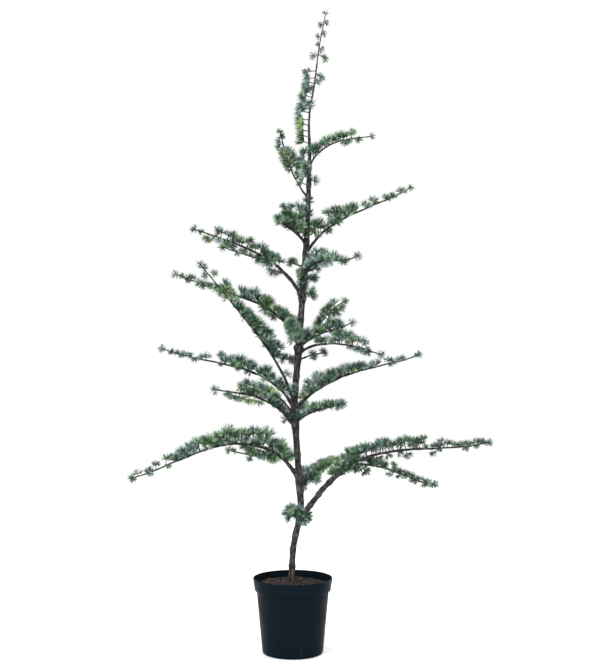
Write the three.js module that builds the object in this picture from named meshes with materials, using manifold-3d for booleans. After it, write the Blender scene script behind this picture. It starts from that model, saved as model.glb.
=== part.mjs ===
// A young cedar, about a metre and a half tall, in a round plastic nursery pot.
// Millimetres, +Z up, the viewer at -Y and +X to the right. The origin is the middle of the pot's flat foot.
// The stem stands whole from the potting mix to its tip. Each bough leaves it as one tapering limb, and
// runs on inside closed masses of needles. Nothing touches: neighbours keep a hair of air.
import * as THREE from "three";
import { mergeVertices } from "three/addons/utils/BufferGeometryUtils.js";
import Module from "manifold-3d";

const wasm = await Module();
wasm.setup();

// ---- driving dimensions ----
const GAP = 0.3; // between pieces that rest on each other

const POT = {
  height: 178,
  footRadius: 72,
  shoulderRadius: 86, // just under the rim band
  rimRadius: 94.5,
  bandHeight: 30,
  bandFlare: 4, // how much the band opens from its lower edge to its top
  bandChamfer: 3, // the soft edge at the band's top
  wall: 2,
  floor: 3,
  lip: 3, // thickness of the rim's top edge
  footBevel: 3,
  sides: 40,
};
// The potting mix lies lumpy, and sinks a little towards the wall. Its flat spot carries the stem.
const MIX = {
  depthBelowRim: 15,
  flatRadius: 13,
  lump: 2.5,
  lumpAcross: 12,
  ringRadii: [46, 65],
  sink: [1, 2, 4], // at the two rings and at the wall
};
const MIX_TOP = POT.height - MIX.depthBelowRim;

const STEM = {
  sides: 8,
  ringEvery: 34,
  flare: 14, // the height over which the foot widens
  // height, lean to the right, lean to the back, radius
  stations: [
    [MIX_TOP + GAP, -2, 0, 9.4],
    [190, -2, 0, 7.6],
    [255, 2, 2, 7.6],
    [335, 18.5, 4, 8.4],
    [425, 14, -2, 7.7],
    [590, 5, -8, 7.8],
    [720, 14, -4, 7.8],
    [860, 24, 4, 7.4],
    [1000, 34, 5, 6.4],
    [1110, 38, 0, 5.6],
    [1190, 40, -3, 4.2],
    [1270, 39, 0, 2.5],
    [1350, 51.5, 4, 1.9],
    [1440, 63, 3, 1.5],
    [1518, 78, 0, 1.0],
  ],
};

// A limb thickens to a collar at its foot. A bough whose needles start sooner than this has no bare limb.
const LIMB = { sides: 7, ringEvery: 30, tipRadius: 1.4, collar: 0.35, collarReach: 14, shortest: 0.095 };
const MASS = { sides: 8, ringEvery: 31, uneven: 0.16, ripple: 0.08, tipReach: 9 };

// Each bough: where its foot stands on the stem (height) or on another bough (on, at), its compass
// direction (0 is right, 90 is back, 180 is left, 270 is towards the viewer), how far that swings by its
// tip, its length, its rise above level at foot, a third, two thirds and tip, its radius at the foot and,
// where another bough carries it on, its radius at the tip.
// Each mass: where it starts and ends along the bough, how high it stands over the bough at its two ends,
// how far it hangs under it and how wide it is to each side.
const BOUGHS = [
  {
    name: "foot", height: 318, azimuth: 256, swing: 0, length: 44, rise: [36, 25, 13, 0], radius: 2,
    masses: [{ from: 0, to: 1, above: [26, 24], below: 20, side: 38 }],
  },
  {
    name: "low_right", height: 318, azimuth: 340, swing: 0, length: 200, rise: [45, 67, 33, 32], radius: 7.4,
    tip: 5.2, masses: [],
  },
  {
    name: "low_right_outer", on: "low_right", at: 0.93, azimuth: 336, swing: 18, length: 332,
    rise: [33, 0, -4, 17], radius: 4.4,
    masses: [
      { from: 0, to: 0.52, above: [40, 46], below: 14, side: 24 },
      { from: 0.52, to: 1, above: [32, 14], below: 13, side: 16 },
    ],
  },
  {
    name: "low_right_fork", on: "low_right", at: 0.96, azimuth: 16, swing: 14, length: 227,
    rise: [-1, -16, -39, -3], radius: 2.9,
    masses: [{ from: 0, to: 1, above: [24, 14], below: 15, side: 16 }],
  },
  {
    name: "low_middle", height: 392, azimuth: 40, swing: -12, length: 174,
    rise: [46, 22, 13, 20], radius: 2.8,
    masses: [{ from: 0.02, to: 1, above: [26, 30], below: 14, side: 22 }],
  },
  {
    name: "low_back", height: 380, azimuth: 72, swing: 4, length: 310, rise: [26, 7, 0, 4], radius: 3,
    masses: [{ from: 0.02, to: 1, above: [26, 16], below: 12, side: 21 }],
  },
  {
    name: "low_left", height: 406, azimuth: 202, swing: -10, length: 450,
    rise: [66, 9, -49, -10], radius: 5.6,
    masses: [
      { from: 0.12, to: 0.4, above: [42, 54], below: 18, side: 25 },
      { from: 0.4, to: 0.7, above: [54, 36], below: 6, side: 23 },
      { from: 0.7, to: 1, above: [28, 15], below: 11, side: 15 },
    ],
  },
  {
    name: "waist_left", height: 532, azimuth: 210, swing: 0, length: 242, rise: [56, 36, -1, 12], radius: 4.4,
    masses: [
      { from: 0.16, to: 0.68, above: [32, 38], below: 16, side: 24 },
      { from: 0.68, to: 1, above: [14, 12], below: 22, side: 13 },
    ],
  },
  {
    name: "waist_right", height: 544, azimuth: 312, swing: 0, length: 174, rise: [38, 14, 7, 14], radius: 3,
    masses: [{ from: 0.02, to: 1, above: [26, 20], below: 8, side: 20 }],
  },
  {
    name: "waist_front", height: 560, azimuth: 246, swing: -10, length: 240,
    rise: [38, 24, 14, 10], radius: 2.8,
    masses: [{ from: 0.05, to: 1, above: [20, 18], below: 16, side: 20 }],
  },
  {
    name: "waist_back", height: 552, azimuth: 82, swing: 8, length: 300, rise: [12, 3, 0, 4], radius: 2.6,
    masses: [{ from: 0.02, to: 1, above: [20, 18], below: 14, side: 20 }],
  },
  {
    name: "long_left", height: 570, azimuth: 150, swing: 12, length: 407, rise: [69, -1, 6, 19], radius: 4.2,
    masses: [
      { from: 0.13, to: 0.6, above: [36, 42], below: 5, side: 22 },
      { from: 0.6, to: 1, above: [26, 13], below: 9, side: 15 },
    ],
  },
  {
    name: "long_right", height: 576, azimuth: 28, swing: -10, length: 364,
    rise: [47, 21, -2, 21], radius: 4.2,
    masses: [
      { from: 0.1, to: 0.58, above: [38, 40], below: 4, side: 22 },
      { from: 0.58, to: 1, above: [30, 14], below: 8, side: 16 },
    ],
  },
  {
    name: "steep_left", height: 566, azimuth: 204, swing: -12, length: 428,
    rise: [84, 44, 49, 51], radius: 4.2,
    masses: [
      { from: 0.34, to: 0.72, above: [46, 30], below: 5, side: 21 },
      { from: 0.72, to: 1, above: [24, 14], below: 13, side: 16 },
    ],
  },
  {
    name: "peg_left", height: 690, azimuth: 200, swing: 0, length: 40, rise: [20, 17, 11, 0], radius: 2,
    masses: [{ from: 0.08, to: 1, above: [18, 18], below: 14, side: 16 }],
  },
  {
    name: "peg_right", height: 694, azimuth: 334, swing: 0, length: 72, rise: [24, 15, 10, 10], radius: 2,
    masses: [{ from: 0.02, to: 1, above: [14, 18], below: 11, side: 15 }],
  },
  {
    name: "mid_right", height: 706, azimuth: 322, swing: 0, length: 246,
    rise: [40, -7, -11, -15], radius: 3.4,
    masses: [{ from: 0.2, to: 1, above: [36, 22], below: 10, side: 19 }],
  },
  {
    name: "mid_back_right", height: 722, azimuth: 32, swing: 10, length: 185, rise: [46, 8, 9, 22], radius: 3,
    masses: [{ from: 0.14, to: 1, above: [30, 24], below: 10, side: 21 }],
  },
  {
    name: "mid_fork", on: "mid_back_right", at: 0.3, azimuth: 66, swing: -10, length: 175,
    rise: [54, 30, 17, 25], radius: 2.2,
    masses: [{ from: 0.14, to: 1, above: [24, 20], below: 16, side: 19 }],
  },
  {
    name: "mid_left", height: 720, azimuth: 162, swing: -6, length: 393, rise: [82, -1, 18, 20], radius: 4.6,
    masses: [
      { from: 0.1, to: 0.46, above: [34, 36], below: 16, side: 22 },
      { from: 0.46, to: 1, above: [36, 14], below: 11, side: 17 },
    ],
  },
  {
    name: "mid_front", height: 744, azimuth: 262, swing: 8, length: 270, rise: [14, 9, 5, 4], radius: 2.6,
    masses: [{ from: 0.02, to: 1, above: [22, 18], below: 17, side: 22 }],
  },
  {
    name: "mid_back", height: 742, azimuth: 98, swing: -12, length: 300, rise: [18, 9, 5, 8], radius: 2.8,
    masses: [{ from: 0.02, to: 1, above: [22, 18], below: 15, side: 21 }],
  },
  {
    name: "upper_left", height: 842, azimuth: 206, swing: -6, length: 322, rise: [62, 31, 7, 21], radius: 5,
    masses: [
      { from: 0.24, to: 0.6, above: [34, 40], below: 22, side: 21 },
      { from: 0.6, to: 1, above: [38, 15], below: 24, side: 17 },
    ],
  },
  {
    name: "peg_upper", height: 922, azimuth: 196, swing: 0, length: 46, rise: [30, 17, 13, 20], radius: 2,
    masses: [{ from: 0.02, to: 1, above: [18, 18], below: 13, side: 16 }],
  },
  {
    name: "upper_right", height: 884, azimuth: 306, swing: 10, length: 203,
    rise: [69, -14, -13, 20], radius: 3,
    masses: [{ from: 0.02, to: 1, above: [34, 18], below: 12, side: 19 }],
  },
  {
    name: "upper_back", height: 838, azimuth: 88, swing: 6, length: 250, rise: [34, 17, 10, 14], radius: 2.6,
    masses: [{ from: 0.02, to: 1, above: [20, 16], below: 18, side: 20 }],
  },
  {
    name: "high_right", height: 944, azimuth: 26, swing: 6, length: 363, rise: [64, 14, 19, 28], radius: 3.6,
    masses: [
      { from: 0.12, to: 0.5, above: [40, 36], below: 12, side: 21 },
      { from: 0.5, to: 1, above: [26, 11], below: 7, side: 14 },
    ],
  },
  {
    name: "high_left", height: 970, azimuth: 212, swing: 64, length: 178, rise: [50, 14, -2, 6], radius: 3.6,
    masses: [{ from: 0.26, to: 1, above: [36, 34], below: 18, side: 30 }],
  },
  {
    name: "top_left", height: 1080, azimuth: 146, swing: 0, length: 188, rise: [45, 60, 76, 73], radius: 2.4,
    masses: [{ from: 0.2, to: 1, above: [44, 20], below: 17, side: 21 }],
  },
  {
    name: "top_front", height: 1112, azimuth: 274, swing: 0, length: 96, rise: [38, 17, 7, 10], radius: 1.8,
    masses: [{ from: 0.05, to: 1, above: [20, 20], below: 18, side: 20 }],
  },
  {
    name: "top_right", height: 1150, azimuth: 348, swing: 4, length: 189, rise: [74, 24, -7, 11], radius: 2.2,
    masses: [{ from: 0.11, to: 1, above: [32, 22], below: 6, side: 17 }],
  },
];

// Masses on the leader itself: they climb the stem between two heights and stand out to one side of it.
const LEADER_MASSES = [
  { name: "leader_low", from: 1206, to: 1372, towards: 184, above: [46, 40], below: 3, side: 22 },
  { name: "leader_high", from: 1374, to: 1438, towards: 180, above: [38, 20], below: 34, side: 20 },
  { name: "leader_tip", from: 1440, to: 1522, towards: 175, above: [13, 8], below: 15, side: 12 },
];

const BARK = { color: 0x4a4340, roughness: 0.9 };
const NEEDLES = { color: 0x4f6f5c, roughness: 0.7 };
const PLASTIC = { color: 0x141b20, roughness: 0.45 };
const COMPOST = { color: 0x33261f, roughness: 1 };

// ---- helpers ----
const UP = new THREE.Vector3(0, 0, 1);
const BACK = new THREE.Vector3(0, 1, 0);
const rad = THREE.MathUtils.degToRad;
const lerp = THREE.MathUtils.lerp;

// A value that starts at a, is pulled towards b and then c, and ends at d.
function blend([a, b, c, d], t) {
  return (1 - t) ** 3 * a + 3 * t * (1 - t) ** 2 * b + 3 * t ** 2 * (1 - t) * c + t ** 3 * d;
}

function heading(azimuth, rise) {
  return new THREE.Vector3(
    Math.cos(rad(rise)) * Math.cos(rad(azimuth)),
    Math.cos(rad(rise)) * Math.sin(rad(azimuth)),
    Math.sin(rad(rise)),
  );
}

// A closed skin over rings of equally many points. Its end is flat, or drawn out to a tip if one is given.
function loft(rings, tip) {
  const sides = rings[0].length;
  const points = rings.flat();
  const faces = [];
  for (let i = 0; i < rings.length - 1; i++) {
    for (let j = 0; j < sides; j++) {
      const a = i * sides + j;
      const b = i * sides + ((j + 1) % sides);
      faces.push(a, b, a + sides, b, b + sides, a + sides);
    }
  }
  const middle = (ring) => ring.reduce((sum, p) => sum.add(p), new THREE.Vector3()).divideScalar(sides);
  const last = (rings.length - 1) * sides;
  const start = points.push(middle(rings[0])) - 1;
  const end = points.push(tip ?? middle(rings.at(-1))) - 1;
  for (let j = 0; j < sides; j++) {
    const next = (j + 1) % sides;
    faces.push(start, next, j);
    faces.push(end, last + j, last + next);
  }
  return new THREE.BufferGeometry().setFromPoints(points).setIndex(faces);
}

// The ring round a point: out(angle) gives how far it reaches sideways and upwards.
function ring(at, along, up, sides, out) {
  const side = new THREE.Vector3().crossVectors(along, up).normalize();
  const over = new THREE.Vector3().crossVectors(side, along).normalize();
  return Array.from({ length: sides }, (_, j) => {
    const [x, y] = out((2 * Math.PI * (j + 0.5)) / sides, j);
    return at.clone().addScaledVector(side, -x).addScaledVector(over, y);
  });
}

function solid(geometry) {
  const bare = geometry.index ? geometry.clone() : geometry;
  bare.deleteAttribute("normal");
  bare.deleteAttribute("uv");
  const merged = mergeVertices(bare, 1e-3);
  return new wasm.Manifold(
    new wasm.Mesh({
      numProp: 3,
      vertProperties: merged.attributes.position.array,
      triVerts: new Uint32Array(merged.index.array),
    }),
  );
}

function geometryOf(body) {
  const { vertProperties, triVerts, numProp, numVert } = body.getMesh();
  const position = new Float32Array(numVert * 3);
  for (let i = 0; i < numVert; i++) {
    position.set(vertProperties.subarray(i * numProp, i * numProp + 3), i * 3);
  }
  return new THREE.BufferGeometry()
    .setAttribute("position", new THREE.BufferAttribute(position, 3))
    .setIndex(new THREE.BufferAttribute(triVerts, 1));
}

// A body less its neighbours. What a cut leaves as a crumb is dropped.
function cutRound(body, neighbours) {
  const left = neighbours.reduce((rest, other) => rest.subtract(other), body);
  return left.decompose().sort((a, b) => b.volume() - a.volume())[0];
}

// ---- pot and potting mix ----
function potRadius(z) {
  const shoulder = POT.height - POT.bandHeight;
  return lerp(POT.footRadius, POT.shoulderRadius, Math.min(z / shoulder, 1));
}

function lathe(profile) {
  const turned = new THREE.LatheGeometry(
    profile.map(([r, z]) => new THREE.Vector2(r, z)),
    POT.sides,
  );
  return turned.rotateX(Math.PI / 2);
}

function potGeometry() {
  const { height, rimRadius, bandHeight, bandFlare, bandChamfer, wall, floor, lip, footBevel } = POT;
  const shoulder = height - bandHeight;
  return lathe([
    [0, 0],
    [POT.footRadius - footBevel, 0],
    [potRadius(footBevel), footBevel],
    [potRadius(shoulder), shoulder],
    [rimRadius - bandFlare, shoulder + 1],
    [rimRadius, height - bandChamfer],
    [rimRadius - 1, height],
    [rimRadius - lip, height],
    [rimRadius - lip - bandFlare, shoulder + bandFlare],
    [potRadius(shoulder) - wall, shoulder - 1],
    [potRadius(floor) - wall, floor],
    [0, floor],
  ]);
}

function mixGeometry() {
  const { flatRadius, lump, lumpAcross, ringRadii, sink } = MIX;
  const base = POT.floor + GAP;
  const edge = POT.height - POT.bandHeight - GAP;
  // The wall leans, so a little is added to the gap for it to be whole when measured straight across.
  const inner = (z) => potRadius(z) - POT.wall - 1.5 * GAP;
  const made = lathe([
    [0, base],
    [inner(base), base],
    [inner(edge), edge],
    [inner(edge), MIX_TOP - sink[2]],
    [ringRadii[1], MIX_TOP - sink[1]],
    [ringRadii[0], MIX_TOP - sink[0]],
    [flatRadius, MIX_TOP],
    [0, MIX_TOP],
  ]);
  const position = made.attributes.position;
  for (let i = 0; i < position.count; i++) {
    const [x, y, z] = [position.getX(i), position.getY(i), position.getZ(i)];
    const out = Math.hypot(x, y);
    const raked = z > base + 1 && out > flatRadius + 1 && out < ringRadii[1] + 1;
    if (raked) position.setZ(i, z + lump * Math.sin(x / lumpAcross + 1) * Math.cos(y / lumpAcross));
  }
  return made;
}

// ---- stem ----
const stemLine = new THREE.CatmullRomCurve3(
  STEM.stations.map(([z, x, y]) => new THREE.Vector3(x, y, z)),
  false,
  "centripetal",
);
const stemFoot = STEM.stations[0][0];
const stemTip = STEM.stations.at(-1)[0];

// The stem's own height rises all the way along its line, so a height has one place on it.
function stemAt(height) {
  let [low, high] = [0, 1];
  for (let i = 0; i < 30; i++) {
    const half = (low + high) / 2;
    if (stemLine.getPoint(half).z < height) low = half;
    else high = half;
  }
  return stemLine.getPoint(low);
}

function stemRadius(height) {
  const above = STEM.stations.findIndex(([z]) => z >= height);
  if (above <= 0) return STEM.stations.at(above)[3];
  const [low, high] = [STEM.stations[above - 1], STEM.stations[above]];
  return lerp(low[3], high[3], (height - low[0]) / (high[0] - low[0]));
}

function stemGeometry(grow = 0) {
  const flareTop = stemFoot + STEM.flare;
  const count = Math.round((stemTip - flareTop) / STEM.ringEvery);
  const heights = [stemFoot - grow];
  for (let i = 0; i < count; i++) heights.push(lerp(flareTop, stemTip, i / count));
  heights.push(stemTip + grow);
  const rings = heights.map((height) => {
    const at = stemAt(height).setZ(height);
    const r = stemRadius(height) + grow;
    return ring(at, UP, BACK, STEM.sides, (a) => [r * Math.cos(a), r * Math.sin(a)]);
  });
  return loft(rings);
}

// ---- boughs ----
function boughLine(foot, bough) {
  const steps = 32;
  const points = [foot.clone()];
  for (let i = 0; i < steps; i++) {
    const t = (i + 0.5) / steps;
    const towards = heading(bough.azimuth + bough.swing * t, blend(bough.rise, t));
    points.push(points[i].clone().addScaledVector(towards, bough.length / steps));
  }
  return new THREE.CatmullRomCurve3(points);
}

function limbGeometry(bough, line, end, grow = 0) {
  const rings = [];
  const count = Math.max(3, Math.ceil((end * bough.length) / LIMB.ringEvery));
  for (let i = 0; i <= count; i++) {
    const t = (end * i) / count;
    const collar = 1 + LIMB.collar * Math.exp((-t * bough.length) / LIMB.collarReach);
    const r = lerp(bough.radius, bough.tip ?? LIMB.tipRadius, t) * collar + grow;
    const at = line.getPointAt(t);
    if (i === count) at.addScaledVector(line.getTangentAt(t), grow);
    rings.push(ring(at, line.getTangentAt(t), UP, LIMB.sides, (a) => [r * Math.cos(a), r * Math.sin(a)]));
  }
  return loft(rings);
}

// How full a mass is along its length, from its blunt start over its middle to its narrow end.
function fullness(u) {
  return Math.sin(Math.PI * (0.13 + 0.77 * u)) ** 0.6;
}

// What a ring's corner gains or loses, so that the skin is lumpy in large and in small.
function uneven(i, j, seed) {
  const large = MASS.uneven * Math.sin(2.1 * i + 1.7 * j + seed);
  const small = MASS.ripple * Math.sin(4.3 * i - 2.9 * j + 2 * seed);
  return 1 + large + small;
}

// A mass along a line: place(u) is where it runs, up is the side it stands on, and grow swells it evenly.
function massGeometry({ above, below, side }, place, up, length, seed, grow = 0) {
  const count = Math.max(3, Math.round(length / MASS.ringEvery));
  const rings = [];
  for (let i = 0; i <= count; i++) {
    const u = i / count;
    const { at, along } = place(u);
    const full = fullness(u);
    const high = lerp(above[0], above[1], u) * full + grow;
    const low = below * full + grow;
    const wide = side * full + grow;
    rings.push(
      ring(at, along, up, MASS.sides, (a, j) => {
        const r = uneven(i, j, seed);
        return [wide * r * Math.cos(a), (Math.sin(a) > 0 ? high : low) * r * Math.sin(a)];
      }),
    );
  }
  const { at, along } = place(1);
  const first = place(0);
  rings[0].forEach((p) => p.addScaledVector(first.along, -grow));
  return loft(rings, at.clone().addScaledVector(along, MASS.tipReach + grow));
}

function boughMass(bough, line, mass, seed, grow = 0) {
  const span = bough.length * (mass.to - mass.from);
  const tipped = mass.to === 1 ? MASS.tipReach / bough.length : 0;
  const from = mass.from + (2 * GAP) / bough.length;
  const place = (u) => {
    const t = lerp(from, mass.to - tipped, u);
    return { at: line.getPointAt(t), along: line.getTangentAt(t) };
  };
  return massGeometry(mass, place, UP, span, seed, grow);
}

function leaderMass(mass, seed, grow = 0) {
  const place = (u) => ({ at: stemAt(lerp(mass.from, mass.to, u)), along: UP });
  return massGeometry(mass, place, heading(mass.towards, 0), mass.to - mass.from, seed, grow);
}

// ---- assembly ----
const tree = new THREE.Group();

function add(name, geometry, look) {
  const mesh = new THREE.Mesh(geometry, new THREE.MeshStandardMaterial({ ...look, metalness: 0 }));
  mesh.name = name;
  tree.add(mesh);
}

add("pot", potGeometry(), PLASTIC);
add("potting_mix", mixGeometry(), COMPOST);
add("stem", stemGeometry(), BARK);

const cutters = [solid(stemGeometry(GAP))];
const lines = new Map();
for (const bough of BOUGHS) {
  const foot = bough.on ? lines.get(bough.on).getPointAt(bough.at) : stemAt(bough.height);
  lines.set(bough.name, boughLine(foot, bough));
}

for (const bough of BOUGHS) {
  const line = lines.get(bough.name);
  const end = bough.masses.length ? bough.masses[0].from : 1;
  if (end < LIMB.shortest || bough.on) continue;
  add(`bough_${bough.name}`, geometryOf(cutRound(solid(limbGeometry(bough, line, end)), cutters)), BARK);
  cutters.push(solid(limbGeometry(bough, line, end, GAP)));
}

let seed = 1;
function addMass(name, make) {
  add(`needles_${name}`, geometryOf(cutRound(solid(make(0)), cutters)), NEEDLES);
  cutters.push(solid(make(GAP)));
  seed += 1.3;
}
for (const mass of LEADER_MASSES) addMass(mass.name, (grow) => leaderMass(mass, seed, grow));
for (const bough of BOUGHS) {
  const line = lines.get(bough.name);
  bough.masses.forEach((mass, i) => {
    const name = bough.masses.length > 1 ? `${bough.name}_${i + 1}` : bough.name;
    addMass(name, (grow) => boughMass(bough, line, mass, seed, grow));
  });
}

export default tree;
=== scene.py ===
"""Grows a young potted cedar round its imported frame: stem, boughs, pegs and needles, in a nursery pot."""

import math
from functools import lru_cache

import bpy
import numpy as np
from mathutils import Matrix, Vector, noise


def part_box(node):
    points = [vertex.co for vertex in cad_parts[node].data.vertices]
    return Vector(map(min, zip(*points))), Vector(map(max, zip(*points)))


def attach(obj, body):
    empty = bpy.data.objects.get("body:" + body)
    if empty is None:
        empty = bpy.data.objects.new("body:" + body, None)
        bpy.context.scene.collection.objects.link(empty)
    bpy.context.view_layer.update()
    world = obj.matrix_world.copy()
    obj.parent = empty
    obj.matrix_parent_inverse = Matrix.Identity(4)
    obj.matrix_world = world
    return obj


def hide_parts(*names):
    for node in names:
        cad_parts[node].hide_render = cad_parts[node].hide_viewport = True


bl_info = {
    "name": "Potted Cedar",
    "version": (1, 0, 0),
    "blender": (4, 5, 0),
    "location": "3D View > Sidebar > Cedar",
    "description": "Grows a young cedar in a nursery pot on its packed frame",
    "category": "Add Mesh",
}

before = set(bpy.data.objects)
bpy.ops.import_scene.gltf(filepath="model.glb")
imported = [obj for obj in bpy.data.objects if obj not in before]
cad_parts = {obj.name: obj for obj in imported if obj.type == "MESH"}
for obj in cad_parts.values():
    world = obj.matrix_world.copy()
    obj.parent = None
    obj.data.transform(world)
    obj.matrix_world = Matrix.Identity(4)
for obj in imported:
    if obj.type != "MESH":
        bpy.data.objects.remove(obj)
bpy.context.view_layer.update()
MM = 0.001
UP = np.array([0.0, 0.0, 1.0])

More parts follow.
